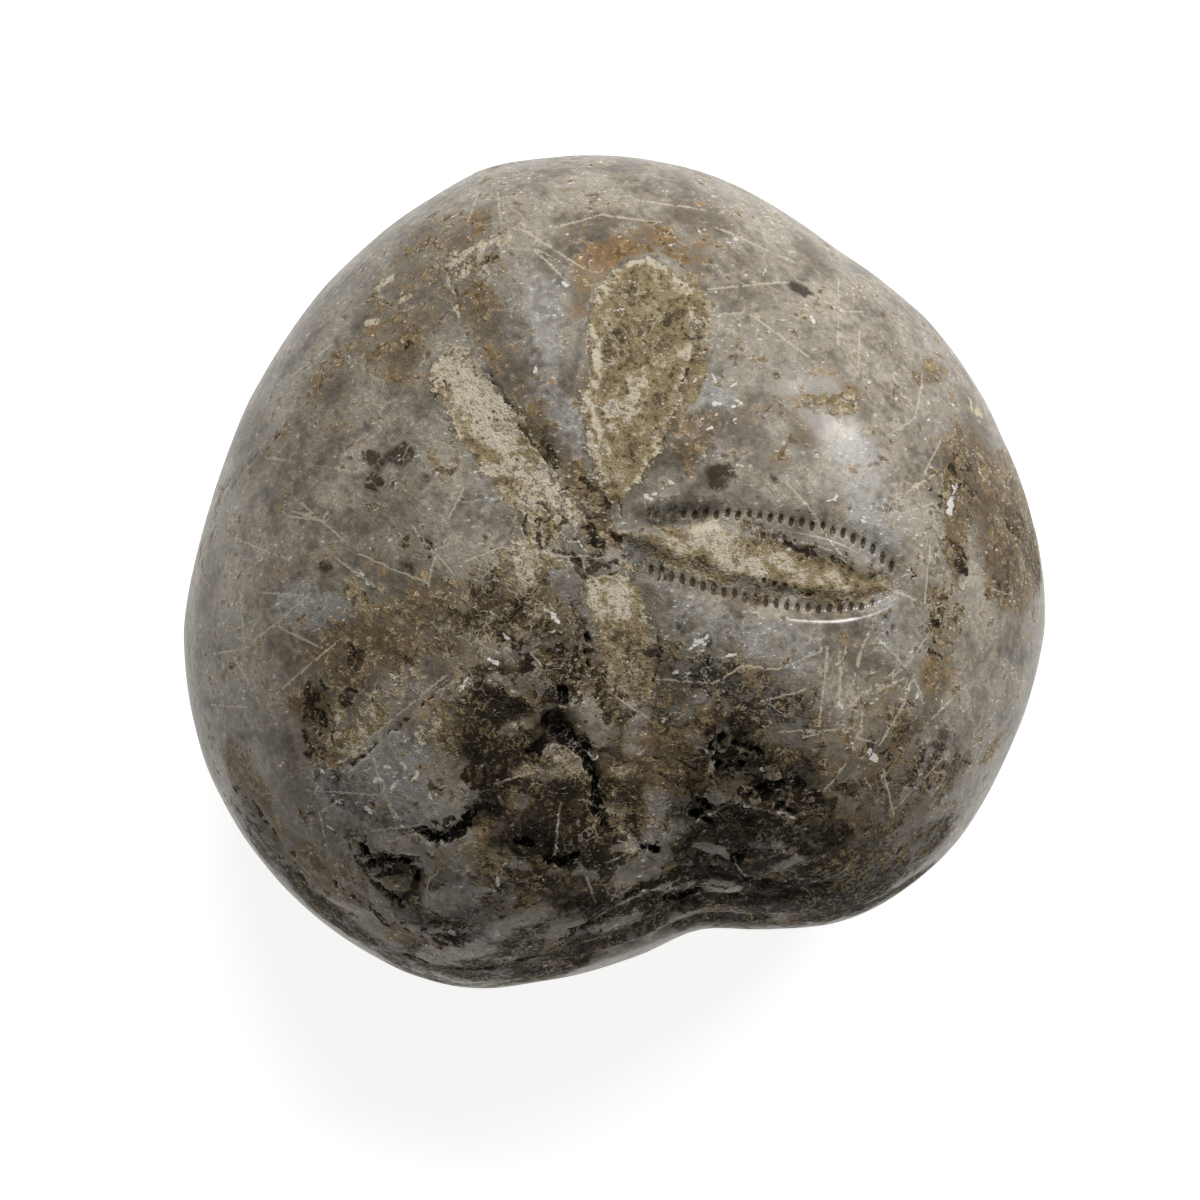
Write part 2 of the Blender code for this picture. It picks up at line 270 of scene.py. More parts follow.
# Tan sediment, crumbly.
OCHRE = (
    (0.45, 0.85, (606, 808), (626, 812)),
    (0.35, 0.8, (395, 880), (402, 892)),
    (0.3, 0.7, (520, 765), (500, 778)),
    (0.35, 0.7, (600, 762), (625, 772)),
    (0.3, 0.6, (770, 850), (800, 848)),
    (0.8, 1, (345, 745), (362, 726), (376, 714)),
    (0.55, 0.95, (334, 718), (344, 702)),
    (2, 0.42, (372, 690), (420, 650), (480, 612)),
    (1.3, 0.42, (500, 602), (470, 640), (440, 662)),
    (0.6, 1, (352, 590), (366, 606)),
    (0.35, 0.8, (368, 612), (366, 622)),
    (1.3, 0.9, (680, 548), (730, 556), (790, 570), (862, 584)),
    (0.5, 0.6, (666, 545), (650, 540)),
    (0.5, 0.7, (862, 590), (888, 585)),
    (1.1, 0.33, (790, 402), (850, 402)),
    (0.35, 0.85, (812, 400), (850, 398)),
    (0.5, 0.75, (930, 365), (942, 373)),
    (0.45, 0.75, (500, 558), (505, 590), (516, 602)),
    (0.9, 0.55, (1000, 738), (985, 757)),
    (0.3, 0.7, (935, 604), (941, 625), (934, 652)),
    (0.3, 0.65, (953, 605), (963, 612)),
    (0.5, 0.6, (610, 835), (632, 848)),
    (0.8, 0.7, (524, 776), (560, 764), (584, 776)),
    (0.5, 0.55, (575, 950), (600, 936)),
    (0.5, 0.55, (390, 884), (402, 892)),
    (0.7, 0.5, (395, 640), (430, 628)),
    (0.9, 0.8, (548, 490), (560, 500), (540, 540)),
    (0.6, 0.9, (520, 560), (530, 590), (545, 560)),
    (0.6, 0.6, (455, 262), (480, 255), (470, 285)),
    (0.5, 0.55, (378, 292), (400, 300)),
    (0.5, 0.6, (500, 690), (520, 700)),
    (0.3, 0.7, (455, 690), (462, 672)),
    (0.4, 0.6, (950, 480), (945, 500)),
    (0.65, 0.95, (692, 280), (698, 310), (698, 345), (690, 385), (674, 420)),
    (1.0, 0.55, (812, 405), (848, 402)),
    (1.2, 0.55, (340, 690), (325, 740)),
)
# Darker infill in the sediment.
SHADE = (
    (1.7, 0.36, (648, 316), (640, 342)),
    (1.2, 0.5, (615, 345), (612, 380)),
    (0.8, 0.5, (618, 640), (636, 680)),
    (0.6, 0.6, (762, 540), (800, 553), (850, 572)),
    (0.4, 0.6, (700, 560), (740, 580)),
)
# Orange stain round the sediment.
RUST = (
    (1, 1, (586, 304), (592, 268), (612, 250)),
    (0.8, 0.6, (800, 400), (850, 396)),
    (0.8, 0.9, (630, 246), (665, 240), (692, 252)),
    (0.4, 0.7, (678, 370), (673, 400), (664, 422)),
    (0.9, 0.6, (466, 236), (480, 224)),
    (0.35, 0.9, (846, 399), (856, 394)),
    (0.35, 1, (950, 526), (955, 545)),
    (0.4, 0.8, (934, 606), (942, 626)),
    (0.35, 0.8, (932, 640), (938, 660)),
    (0.3, 0.9, (958, 604), (966, 612)),
    (0.3, 0.6, (984, 588), (990, 594)),
    (0.4, 0.5, (880, 738), (895, 748)),
    (0.25, 0.8, (938, 371), (943, 374)),
    (0.8, 0.5, (312, 700), (318, 740)),
    (0.5, 0.4, (424, 240), (400, 262)),
    (0.3, 0.6, (408, 352), (406, 362)),
    (0.3, 0.5, (502, 262), (512, 280)),
    (0.5, 0.4, (866, 690), (884, 700)),
    (0.5, 0.7, (588, 340), (586, 400)),
    (0.5, 0.6, (322, 745), (330, 760)),
)
# Brown stain soaked into the calcite.
STAIN = (
    (1.2, 0.6, (536, 425), (552, 450)),
    (1.8, 0.5, (330, 380), (368, 352)),
    (0.8, 0.5, (300, 420), (262, 468)),
    (3, 1, (978, 470), (1002, 515), (1010, 560)),
    (2.6, 1, (1015, 490), (1032, 545)),
    (0.9, 0.9, (950, 458), (955, 560)),
    (1.2, 0.55, (944, 600), (936, 680)),
    (2.4, 0.75, (345, 655), (420, 622), (500, 612)),
    (1.4, 0.95, (320, 742), (312, 702)),
    (3.6, 0.85, (500, 725), (555, 800), (540, 850)),
    (3.2, 0.85, (700, 745), (780, 790), (835, 842)),
    (2.2, 0.8, (612, 872), (560, 900)),
    (1.8, 0.75, (590, 690), (556, 640)),
    (2.6, 0.5, (870, 735), (905, 800)),
    (1.8, 0.8, (237, 768), (282, 842), (350, 890)),
    (1.2, 0.6, (400, 935), (442, 962)),
    (0.7, 0.7, (602, 508), (592, 532)),
    (0.5, 0.7, (576, 500), (566, 472)),
    (0.9, 0.4, (662, 650), (690, 692)),
    (1, 0.3, (690, 266), (702, 240)),
    (0.7, 0.65, (680, 426), (712, 418)),
    (0.8, 0.4, (216, 520), (206, 600)),
    (1.2, 0.5, (505, 168), (470, 180)),
    (1.4, 0.4, (470, 850), (500, 900)),
    (3.2, 0.5, (440, 250), (400, 310)),
    (1.3, 0.55, (466, 288), (490, 325)),
    (0.7, 0.5, (500, 350), (520, 390)),
    (1, 0.75, (405, 345), (395, 372)),
    (1.2, 0.7, (478, 226), (462, 248)),
    (1, 0.9, (575, 480), (590, 510), (600, 535)),
    (0.8, 0.8, (545, 590), (535, 610)),
    (1.2, 0.75, (700, 425), (690, 450)),
    (1, 0.5, (618, 250), (660, 236), (700, 262)),
    (1.4, 0.8, (455, 610), (500, 600)),
    (0.6, 0.7, (920, 380), (936, 372)),
    (1, 0.5, (786, 405), (850, 400)),
    (0.9, 0.45, (775, 462), (795, 440)),
    (4, 0.9, (520, 760), (600, 800), (560, 840)),
    (2.6, 0.9, (640, 760), (760, 770)),
)
# Ground seamed with crooked dark lines.
WORMS = (
    (1.2, 0.8, (490, 620), (540, 660)),
    (1.2, 0.7, (470, 690), (500, 760)),
    (1.2, 0.7, (650, 690), (720, 740)),
    (1.6, 1, (530, 500), (550, 530), (530, 570)),
    (1.2, 0.8, (570, 480), (590, 520)),
    (1, 0.6, (500, 560), (500, 600)),
    (0.8, 0.6, (610, 620), (630, 670)),
    (2, 0.5, (440, 250), (470, 300)),
    (1.2, 0.6, (345, 730), (375, 700)),
    (1.5, 0.5, (760, 700), (850, 700)),
    (2.5, 0.7, (530, 760), (590, 830)),
    (2.5, 0.5, (700, 780), (780, 820)),
    (1.5, 0.6, (950, 480), (940, 640)),
)
# Black crust, and painted shade in the dark lines along the ledges at the notch and the lower edge.
SOOT_AND_EDGE_SHADE = (
    (0.28, 0.62, (780, 544), (802, 552), (830, 560)),
    (0.28, 0.65, (830, 558), (862, 570), (878, 574)),
    (0.2, 0.55, (790, 588), (830, 594), (846, 600)),
    (0.3, 0.55, (934, 606), (942, 622)),
    (0.25, 0.55, (932, 634), (938, 652)),
    (0.2, 0.55, (958, 606), (966, 610)),
    (0.25, 0.55, (948, 538), (962, 552)),
    (0.3, 0.5, (926, 486), (940, 500)),
    (0.5, 0.5, (870, 740), (885, 752)),
    (0.5, 0.5, (840, 780), (860, 800)),
    (0.5, 0.8, (548, 640), (560, 652)),
    (0.5, 0.75, (530, 662), (526, 676)),
    (0.3, 0.75, (590, 530), (596, 542)),
    (0.22, 0.7, (612, 536), (622, 540)),
    (0.35, 0.55, (596, 566), (614, 568)),
    (0.2, 0.5, (574, 486), (588, 492)),
    (0.25, 0.75, (550, 448), (558, 466)),
    (0.22, 0.7, (540, 520), (543, 540)),
    (0.3, 0.7, (430, 546), (436, 554)),
    (0.35, 0.65, (512, 612), (522, 606)),
    (0.3, 0.7, (548, 626), (558, 630)),
    (0.4, 0.6, (652, 848), (656, 852)),
    (0.35, 0.65, (318, 712), (322, 724)),
    (0.35, 0.65, (314, 742), (322, 750)),
    (1.2, 0.7, (540, 728), (505, 702)),
    (0.9, 0.75, (500, 762), (490, 800)),
    (1.2, 0.75, (540, 832), (562, 852), (592, 862)),
    (0.8, 0.6, (592, 700), (602, 740)),
    (1.7, 0.9, (752, 776), (790, 800)),
    (1.2, 0.75, (730, 735), (706, 762)),
    (1.2, 0.75, (700, 792), (734, 815)),
    (1.2, 0.6, (800, 842), (838, 832)),
    (1.6, 0.6, (740, 830), (700, 850)),
    (1.1, 0.65, (820, 800), (800, 830)),
    (0.8, 0.8, (550, 690), (575, 700)),
    (1, 0.55, (570, 790), (560, 820)),
    (0.8, 0.55, (600, 905), (560, 900)),
    (0.9, 0.6, (478, 755), (473, 804)),
    (0.9, 0.6, (318, 690), (308, 745)),
    (0.7, 0.5, (352, 655), (340, 668)),
    (0.6, 0.55, (566, 640), (572, 672)),
    (0.6, 0.5, (497, 640), (520, 650)),
    (0.35, 0.7, (947, 462), (953, 470)),
    (0.35, 0.7, (960, 560), (966, 568)),
    (0.5, 0.6, (627, 836), (650, 850)),
    (0.9, 0.55, (440, 830), (470, 815)),
    (0.7, 0.6, (500, 840), (528, 845)),
    (1.5, 0.5, (640, 905), (700, 900), (780, 890)),
    (0.3, 0.5, (585, 480), (600, 500)),
    (0.5, 0.5, (706, 664), (694, 680)),
    (0.5, 0.5, (600, 930), (560, 950)),
    (0.7, 0.45, (240, 790), (290, 850)),
    (0.4, 0.6, (575, 560), (590, 575)),
    (0.35, 0.6, (340, 700), (352, 690)),
    (0.4, 0.5, (400, 655), (412, 664)),
    (0.4, 0.5, (410, 348), (404, 362)),
    (0.55, 0.75, (372, 866), (405, 872)),
    (0.4, 0.7, (420, 930), (455, 938)),
    # Dark lines along the ledges at the notch and along the lower edge: painted shade where the surface
    # turns under.
    (0.36, 0.75, (610, 908), (640, 889), (668, 872), (700, 868), (732, 872)),
    (0.32, 0.7, (732, 874), (780, 884), (826, 888)),
    (0.3, 0.6, (400, 952), (450, 970), (505, 966), (545, 956)),
    (0.3, 0.6, (560, 938), (600, 918), (625, 905)),
    (0.4, 0.5, (330, 880), (370, 905), (390, 925)),
)
# Plates and lumps that stand out pale from the broken ground, and painted highlights on the ledges at the
# notch.
LIGHT_AND_LEDGE_HIGHLIGHTS = (
    (0.5, 0.8, (546, 752), (566, 756), (582, 768)),
    (1.0, 0.65, (614, 610), (628, 650), (638, 690)),
    (0.8, 0.4, (350, 738), (366, 722)),
    (0.4, 0.9, (520, 768), (545, 776), (560, 770)),
    (0.35, 0.8, (606, 768), (630, 770)),
    (0.5, 0.9, (632, 750), (655, 752)),
    (0.5, 0.9, (644, 722), (634, 738)),
    (0.7, 0.7, (655, 800), (652, 832), (674, 830)),
    (0.9, 0.8, (655, 852), (648, 862), (630, 880)),
    (0.4, 0.9, (606, 806), (626, 812)),
    (0.3, 1, (622, 830), (638, 846), (612, 850)),
    (0.45, 0.9, (700, 846), (726, 852)),
    # This row and the next two are pale lines on the ledges at the notch: painted highlights.
    (0.45, 1, (666, 888), (686, 883)),
    (0.55, 0.8, (710, 886), (738, 888)),
    (0.5, 0.6, (655, 906), (620, 918), (598, 930)),
    (0.6, 0.7, (500, 852), (522, 866)),
    (0.5, 0.7, (556, 866), (590, 870)),
    (0.2, 0.9, (714, 735), (714, 790)),
    (0.5, 0.8, (700, 745), (692, 732)),
    (0.6, 0.7, (680, 712), (700, 702)),
    (0.4, 0.7, (576, 700), (600, 712), (598, 740)),
    (0.3, 0.7, (745, 790), (770, 776), (795, 780)),
    (0.4, 0.6, (785, 840), (800, 856), (770, 866)),
    (0.35, 0.7, (700, 795), (730, 800)),
    (0.3, 0.7, (650, 765), (672, 760)),
    (0.5, 0.6, (505, 730), (528, 722)),
    (0.45, 0.6, (500, 790), (520, 800)),
    (0.4, 0.6, (596, 700), (580, 690)),
    (0.7, 0.7, (455, 800), (468, 790)),
    (0.7, 0.8, (390, 842), (410, 850)),
    (0.35, 1, (390, 880), (402, 892)),
    (0.18, 0.9, (428, 930), (436, 930)),
    (0.18, 0.9, (450, 930), (454, 934)),
    (0.8, 0.6, (500, 930), (540, 910)),
    (0.8, 0.7, (440, 900), (470, 890)),
    (0.9, 0.6, (430, 955), (480, 945)),
    (0.5, 0.6, (540, 712), (525, 700)),
    (0.5, 0.6, (510, 690), (495, 680)),
    (0.3, 0.6, (545, 610), (530, 622)),
    (0.4, 0.6, (505, 650), (490, 640)),
)
# Soft dark spots.
SPOTS = (
    (0.35, 0.75, (404, 566), (412, 572)),
    (0.6, 1, (718, 480), (722, 478)),
    (0.28, 0.7, (772, 483), (775, 484)),
    (0.6, 0.3, (738, 488), (770, 505)),
    (0.5, 0.95, (794, 289), (804, 294)),
    (0.25, 0.5, (881, 315), (883, 316)),
    (0.3, 0.45, (817, 264), (822, 266)),
    (0.28, 0.8, (783, 432), (784, 434)),
    (0.4, 1, (327, 566), (329, 569)),
    (0.4, 0.7, (376, 488), (396, 486)),
    (0.5, 0.5, (381, 462), (383, 470)),
    (0.3, 0.5, (427, 480), (431, 482)),
    (0.4, 0.55, (677, 627), (680, 629)),
    (0.5, 0.6, (549, 437), (551, 441)),
    (0.5, 0.75, (936, 744), (945, 734)),
    (0.25, 0.8, (966, 654), (972, 656)),
    (0.2, 0.7, (972, 664), (974, 672)),
    (0.14, 0.8, (950, 574), (951, 584)),
    (0.22, 0.5, (1003, 604), (1004, 608)),
    (0.3, 0.4, (913, 640), (918, 642)),
    (0.16, 0.8, (971, 508), (972, 510)),
    (0.2, 0.7, (884, 784), (886, 792)),
    (0.16, 0.6, (889, 622), (891, 624)),
    (0.14, 0.6, (886, 630), (887, 632)),
    (0.15, 0.5, (893, 571), (894, 574)),
    (0.35, 0.4, (530, 350), (536, 356)),
    (0.3, 0.4, (640, 400), (643, 404)),
    (0.25, 0.5, (604, 410), (606, 412)),
    (0.9, 0.5, (660, 515), (700, 510)),
    (0.6, 0.4, (700, 500), (640, 512)),
    (0.35, 0.4, (460, 505), (466, 500)),
    (0.6, 0.8, (370, 458), (378, 466)),
    (0.5, 0.8, (374, 482), (384, 486)),
    (0.5, 0.8, (396, 452), (402, 462)),
    (0.45, 0.8, (410, 448), (414, 456)),
)
# Clear bluish calcite.
BLUE = (
    (1.2, 0.6, (545, 300), (540, 345), (556, 400)),
    (1.2, 0.7, (556, 400), (568, 440)),
    (1.6, 0.6, (690, 620), (760, 640), (800, 650)),
    (1.4, 0.8, (295, 600), (330, 612), (338, 628)),
    (2, 0.8, (335, 790), (400, 800)),
    (1.5, 0.6, (410, 745), (380, 770)),
    (1.4, 0.55, (655, 800), (662, 845)),
    (2, 0.5, (880, 600), (905, 640)),
    (1.6, 0.7, (855, 460), (880, 540)),
    (1.2, 0.7, (715, 400), (700, 450)),
    (1.4, 0.6, (500, 890), (480, 930)),
    (1, 0.7, (445, 870), (460, 880)),
    (0.8, 0.6, (560, 575), (575, 620)),
    (0.9, 0.6, (640, 560), (665, 590)),
    (1, 0.6, (700, 690), (720, 700)),
    (1, 0.5, (500, 460), (480, 520)),
    (1, 0.5, (320, 690), (300, 660)),
    (1.2, 0.5, (820, 860), (880, 840)),
)
# Holes in the broken ground, painted near black: painted shade inside them.
PITS_WITH_PAINTED_SHADE = (
    (0.2, 0.9, (362, 844), (366, 854)),
    (0.22, 0.8, (372, 862), (388, 858), (408, 862)),
    (0.25, 0.85, (412, 868), (414, 884)),
    (0.2, 0.8, (380, 884), (396, 902)),
    (0.3, 0.8, (646, 848), (655, 852)),
    (0.3, 0.8, (700, 800), (706, 810)),
    (0.2, 0.8, (716, 752), (718, 768)),
    (0.25, 0.7, (736, 742), (760, 752)),
    (0.3, 0.7, (745, 760), (730, 768)),
    (0.25, 0.8, (596, 806), (597, 816)),
    (0.32, 0.9, (562, 689), (566, 702)),
    (0.68, 1, (550, 722), (566, 736)),
    (0.41, 0.9, (541, 743), (533, 752)),
    (0.46, 1, (571, 738), (585, 752)),
    (0.35, 1, (585, 752), (592, 772)),
    (0.24, 0.9, (594, 780), (598, 806)),
    (0.19, 0.8, (601, 812), (603, 826)),
    (0.3, 0.9, (548, 857), (560, 862), (575, 854)),
    (0.38, 0.8, (517, 838), (528, 841)),
    (0.38, 0.85, (423, 830), (433, 833)),
    (0.41, 0.9, (446, 835), (460, 826)),
    (0.27, 0.8, (466, 822), (471, 810)),
    (0.54, 0.9, (756, 792), (772, 786)),
    (0.3, 0.7, (694, 812), (706, 820)),
    (0.4, 1, (668, 896), (682, 895), (696, 891)),
    (0.34, 0.7, (736, 860), (744, 850)),
    (0.27, 0.7, (780, 806), (786, 812)),
    (0.34, 0.7, (712, 748), (722, 736)),
    (0.19, 0.8, (586, 652), (588, 654)),
    (0.19, 0.8, (589, 664), (591, 666)),
    (0.19, 0.8, (586, 638), (588, 640)),
    (0.41, 0.7, (738, 768), (748, 760)),
)
# Thin dark cracks, and painted shade in the dark lines along the ledges at the notch and the lower edge.
INK_AND_EDGE_SHADE = (
    (0.09, 0.7, (452, 270), (454, 286), (460, 296)),
    (0.08, 0.6, (470, 268), (484, 270), (498, 256)),
    (0.08, 0.6, (412, 304), (398, 310), (384, 300)),
    (0.08, 0.5, (590, 300), (588, 340), (592, 400), (598, 440)),
    (0.09, 0.6, (706, 320), (690, 366), (672, 410), (660, 452)),
    (0.11, 0.9, (526, 510), (538, 504), (550, 511), (557, 504)),
    (0.11, 0.9, (527, 514), (523, 528), (530, 536)),
    (0.11, 0.9, (541, 521), (552, 521), (560, 531)),
    (0.12, 0.9, (539, 540), (542, 549), (549, 544), (545, 530)),
    (0.1, 0.8, (548, 511), (562, 514), (566, 524), (558, 532)),
    (0.11, 0.8, (561, 505), (557, 494), (566, 486)),
    (0.12, 0.9, (556, 552), (572, 557), (584, 561)),
    (0.12, 0.9, (574, 540), (576, 530), (586, 526), (593, 533)),
    (0.13, 0.9, (588, 542), (602, 545), (603, 556), (590, 558)),
    (0.11, 0.8, (598, 502), (610, 505), (604, 517), (586, 517)),
    (0.12, 0.8, (605, 530), (617, 541), (626, 536)),
    (0.11, 0.8, (586, 562), (602, 564), (620, 561)),
    (0.07, 0.8, (619, 500), (622, 522)),
    (0.06, 0.8, (548, 552), (553, 545), (557, 549)),
    (0.07, 0.8, (541, 585), (532, 595), (524, 594)),
    (0.06, 0.7, (538, 562), (545, 556)),
    (0.08, 0.9, (418, 532), (430, 546), (437, 557)),
    (0.08, 0.5, (440, 506), (470, 500), (492, 495)),
    (0.09, 0.9, (560, 628), (572, 627), (576, 640), (570, 647)),
    (0.07, 0.8, (447, 612), (452, 621), (458, 614)),
    (0.07, 0.7, (312, 705), (326, 712), (318, 726), (332, 732)),
    (0.07, 0.7, (310, 738), (324, 746), (318, 757), (336, 766)),
    (0.07, 0.7, (330, 700), (334, 730), (330, 760)),
    (0.06, 0.8, (371, 700), (368, 710), (376, 716)),
    (0.07, 0.6, (560, 700), (545, 708), (515, 708)),
    (0.06, 0.9, (428, 381), (438, 377)),
    (0.06, 0.9, (430, 389), (441, 385)),
    (0.06, 0.9, (432, 397), (444, 393)),
    (0.06, 0.9, (435, 405), (447, 401)),
    (0.06, 0.9, (438, 413), (450, 409)),
    (0.06, 0.9, (442, 421), (453, 417)),
    (0.07, 0.7, (444, 366), (442, 378), (450, 395)),
    (0.1, 0.5, (640, 768), (662, 776), (680, 784)),
    (0.08, 0.7, (716, 738), (717, 790)),
    (0.07, 0.7, (580, 742), (600, 752), (625, 757)),
    (0.07, 0.6, (640, 758), (690, 765), (712, 780)),
    (0.08, 0.7, (620, 858), (650, 850), (658, 842)),
    # This row and the next seven are dark lines along the ledges at the notch and the lower edge: painted
    # shade where the surface turns under.
    (0.3, 1, (640, 892), (656, 884), (680, 874), (706, 871), (732, 874)),
    (0.34, 1, (732, 874), (762, 882), (800, 884), (828, 888)),
    (0.26, 1, (676, 884), (690, 878), (712, 874)),
    (0.08, 0.7, (640, 903), (668, 886), (700, 884), (730, 888)),
    (0.1, 0.7, (560, 934), (600, 915), (629, 897)),
    (0.07, 0.6, (590, 935), (625, 912), (660, 898)),
    (0.1, 0.7, (440, 967), (480, 968), (505, 962), (539, 955)),
    (0.08, 0.6, (470, 977), (510, 978), (545, 970)),
    (0.11, 0.9, (396, 923), (430, 921), (467, 921)),
    (0.09, 0.8, (467, 921), (465, 947)),
    (0.12, 0.85, (396, 923), (425, 938), (465, 947)),
    (0.12, 0.6, (440, 930), (452, 940), (458, 928)),
    (0.1, 0.7, (344, 837), (369, 834), (366, 858)),
    (0.1, 0.7, (346, 838), (360, 861)),
    (0.2, 0.8, (357, 857), (388, 853), (424, 860)),
    (0.24, 0.8, (424, 860), (414, 888), (400, 908)),
    (0.18, 0.85, (357, 857), (376, 886), (400, 908)),
    (0.1, 0.6, (372, 866), (412, 868)),
    (0.1, 0.9, (449, 683), (400, 725), (352, 765)),
    (0.09, 0.8, (940, 540), (958, 544), (968, 562)),
    (0.1, 0.8, (934, 604), (944, 612), (940, 622), (930, 630)),
    (0.09, 0.8, (936, 640), (928, 648), (938, 656), (944, 662)),
    (0.08, 0.7, (955, 604), (966, 612), (960, 618)),
    (0.08, 0.7, (980, 582), (990, 590), (984, 598)),
    (0.08, 0.7, (910, 566), (916, 574), (908, 582)),
    (0.07, 0.6, (920, 668), (928, 676)),
    (0.07, 0.6, (900, 782), (920, 765), (945, 748)),
    (0.08, 0.7, (925, 480), (935, 490), (940, 505)),
    (0.08, 0.7, (944, 486), (944, 500)),
    (0.07, 0.6, (873, 618), (876, 636)),
    (0.07, 0.6, (293, 427), (256, 459), (230, 496)),
    (0.09, 0.7, (657, 633), (660, 656), (655, 682)),
    (0.1, 0.8, (490, 374), (520, 425), (550, 466), (557, 480)),
    (0.1, 0.4, (537, 174), (560, 166), (580, 163)),
    (0.08, 0.35, (620, 178), (648, 179)),
    (0.06, 0.4, (278, 700), (240, 745)),
    (0.09, 0.7, (583, 588), (580, 612), (592, 650)),
    (0.07, 0.5, (540, 690), (525, 705), (505, 708)),
    (0.07, 0.5, (582, 712), (600, 706), (618, 706)),
)
# Crisp white flecks.
WHITE = (
    (0.07, 0.9, (572, 546), (577, 542), (583, 545), (585, 551), (580, 556), (573, 553), (572, 546)),
    (0.2, 0.8, (462, 690), (470, 678)),
    (0.12, 0.7, (488, 660), (496, 666)),
    (0.12, 0.9, (505, 636), (508, 638)),
    (0.14, 0.7, (552, 612), (556, 622)),
    (0.1, 0.8, (432, 792), (433, 797)),
    (0.08, 0.8, (328, 826), (334, 827)),
    (0.1, 0.8, (542, 873), (546, 879)),
    (0.09, 0.7, (498, 872), (498, 880)),
    (0.09, 0.6, (662, 716), (667, 724)),
    (0.1, 0.6, (416, 862), (424, 868)),
    (0.08, 0.6, (386, 908), (392, 916)),
    (0.08, 0.55, (785, 882), (800, 881), (818, 880)),
    (0.08, 0.55, (745, 802), (756, 806)),
    (0.07, 0.6, (622, 905), (640, 895), (655, 890)),
    (0.09, 0.6, (438, 472), (440, 478)),
    (0.1, 0.7, (488, 532), (490, 537)),
    (0.1, 0.7, (426, 537), (430, 539)),
    (0.13, 1, (687, 652), (706, 636)),
    (0.1, 0.9, (694, 640), (706, 644), (710, 636)),
    (0.08, 0.9, (715, 659), (730, 655), (743, 654)),
    (0.1, 0.8, (672, 672), (682, 668), (692, 671)),
    (0.09, 1, (761, 279), (766, 268)),
    (0.24, 1, (955, 484), (949, 510)),
    (0.09, 0.8, (832, 492), (836, 500), (828, 501)),
    (0.1, 0.8, (863, 517), (870, 519)),
    (0.08, 0.7, (908, 686), (906, 696)),
    (0.08, 0.7, (918, 686), (918, 697)),
    (0.09, 0.7, (934, 698), (936, 704)),
    (0.09, 0.7, (943, 698), (943, 708)),
    (0.08, 0.7, (980, 668), (986, 658)),
    (0.1, 0.7, (882, 642), (886, 647)),
    (0.08, 0.6, (926, 672), (932, 673)),
    (0.08, 0.6, (946, 627), (950, 627)),
    (0.1, 0.8, (810, 320), (812, 326)),
    (0.1, 0.8, (862, 382), (865, 384)),
    (0.14, 1, (793, 668), (796, 670)),
    (0.14, 1, (838, 700), (840, 705)),
    (0.12, 0.9, (760, 766), (763, 768)),
    (0.1, 0.9, (848, 742), (850, 748)),
    (0.12, 0.9, (870, 750), (872, 760)),
    (0.12, 1, (362, 572), (367, 576)),
    (0.1, 0.9, (366, 582), (373, 580)),
    (0.14, 0.9, (568, 633), (571, 637)),
    (0.12, 0.9, (367, 806), (370, 811)),
    (0.1, 0.9, (399, 823), (404, 825)),
    (0.14, 1, (590, 752), (596, 757)),
    (0.09, 0.8, (305, 903), (308, 905)),
    (0.11, 0.9, (706, 430), (709, 428)),
    (0.16, 1, (716, 417), (722, 414)),
    (0.13, 1, (712, 406), (718, 405)),
    (0.11, 0.9, (727, 409), (732, 410)),
    (0.1, 0.9, (733, 420), (734, 424)),
    (0.09, 0.8, (724, 424), (726, 426)),
    (0.08, 0.8, (738, 404), (739, 406)),
    (0.09, 0.8, (700, 418), (702, 419)),
    (0.09, 0.8, (712, 376), (716, 384)),
    (0.09, 0.8, (740, 396), (744, 400)),
    (0.09, 0.8, (730, 388), (734, 386)),
    (0.1, 0.9, (645, 494), (652, 498)),
    (0.1, 0.9, (656, 494), (662, 487)),
    (0.09, 0.8, (670, 482), (674, 484)),
    (0.08, 0.7, (728, 243), (736, 240)),
    (0.07, 0.7, (700, 232), (706, 236)),
    (0.07, 0.7, (738, 250), (742, 246)),
    (0.07, 0.7, (715, 228), (722, 234)),
    (0.08, 0.9, (727, 300), (728, 308)),
    (0.09, 0.8, (800, 305), (806, 308)),
    (0.12, 0.9, (388, 766), (396, 773)),
    (0.1, 0.9, (402, 762), (408, 768)),
    (0.1, 0.9, (380, 778), (374, 782)),
    (0.1, 0.9, (394, 788), (400, 780)),
    (0.11, 0.9, (412, 776), (418, 770)),
    (0.1, 0.8, (430, 745), (436, 750)),
    (0.1, 0.9, (863, 522), (871, 524)),
    (0.07, 0.8, (832, 500), (836, 508)),
    (0.1, 0.8, (744, 470), (736, 468)),
    (0.08, 0.7, (604, 191), (612, 189)),
    (0.1, 0.8, (574, 268), (578, 264)),
    (0.13, 0.9, (563, 284), (568, 287)),
    (0.1, 0.8, (558, 281), (555, 279)),
    (0.07, 0.6, (560, 812), (558, 830), (554, 850)),
    (0.1, 0.8, (537, 370), (539, 374)),
    (0.08, 0.7, (460, 688), (468, 682)),
    (0.08, 0.7, (415, 534), (418, 536)),
    (0.08, 0.7, (566, 237), (568, 238)),
    (0.09, 0.7, (600, 200), (602, 202)),
    (0.09, 0.7, (470, 905), (474, 908)),
    (0.09, 0.7, (510, 860), (514, 864)),
    (0.08, 0.7, (296, 640), (298, 641)),
    (0.1, 0.7, (336, 800), (340, 802)),
    (0.09, 0.7, (320, 770), (324, 772)),
    (0.08, 0.6, (700, 700), (704, 703)),
    (0.08, 0.6, (900, 660), (904, 664)),
    (0.08, 0.7, (880, 350), (884, 353)),
)
# The most polished ground.
GLOSS = (
    (0.6, 1, (798, 622), (822, 624), (846, 620), (866, 611), (874, 604)),
    (0.5, 0.2, (826, 430), (846, 428)),
)
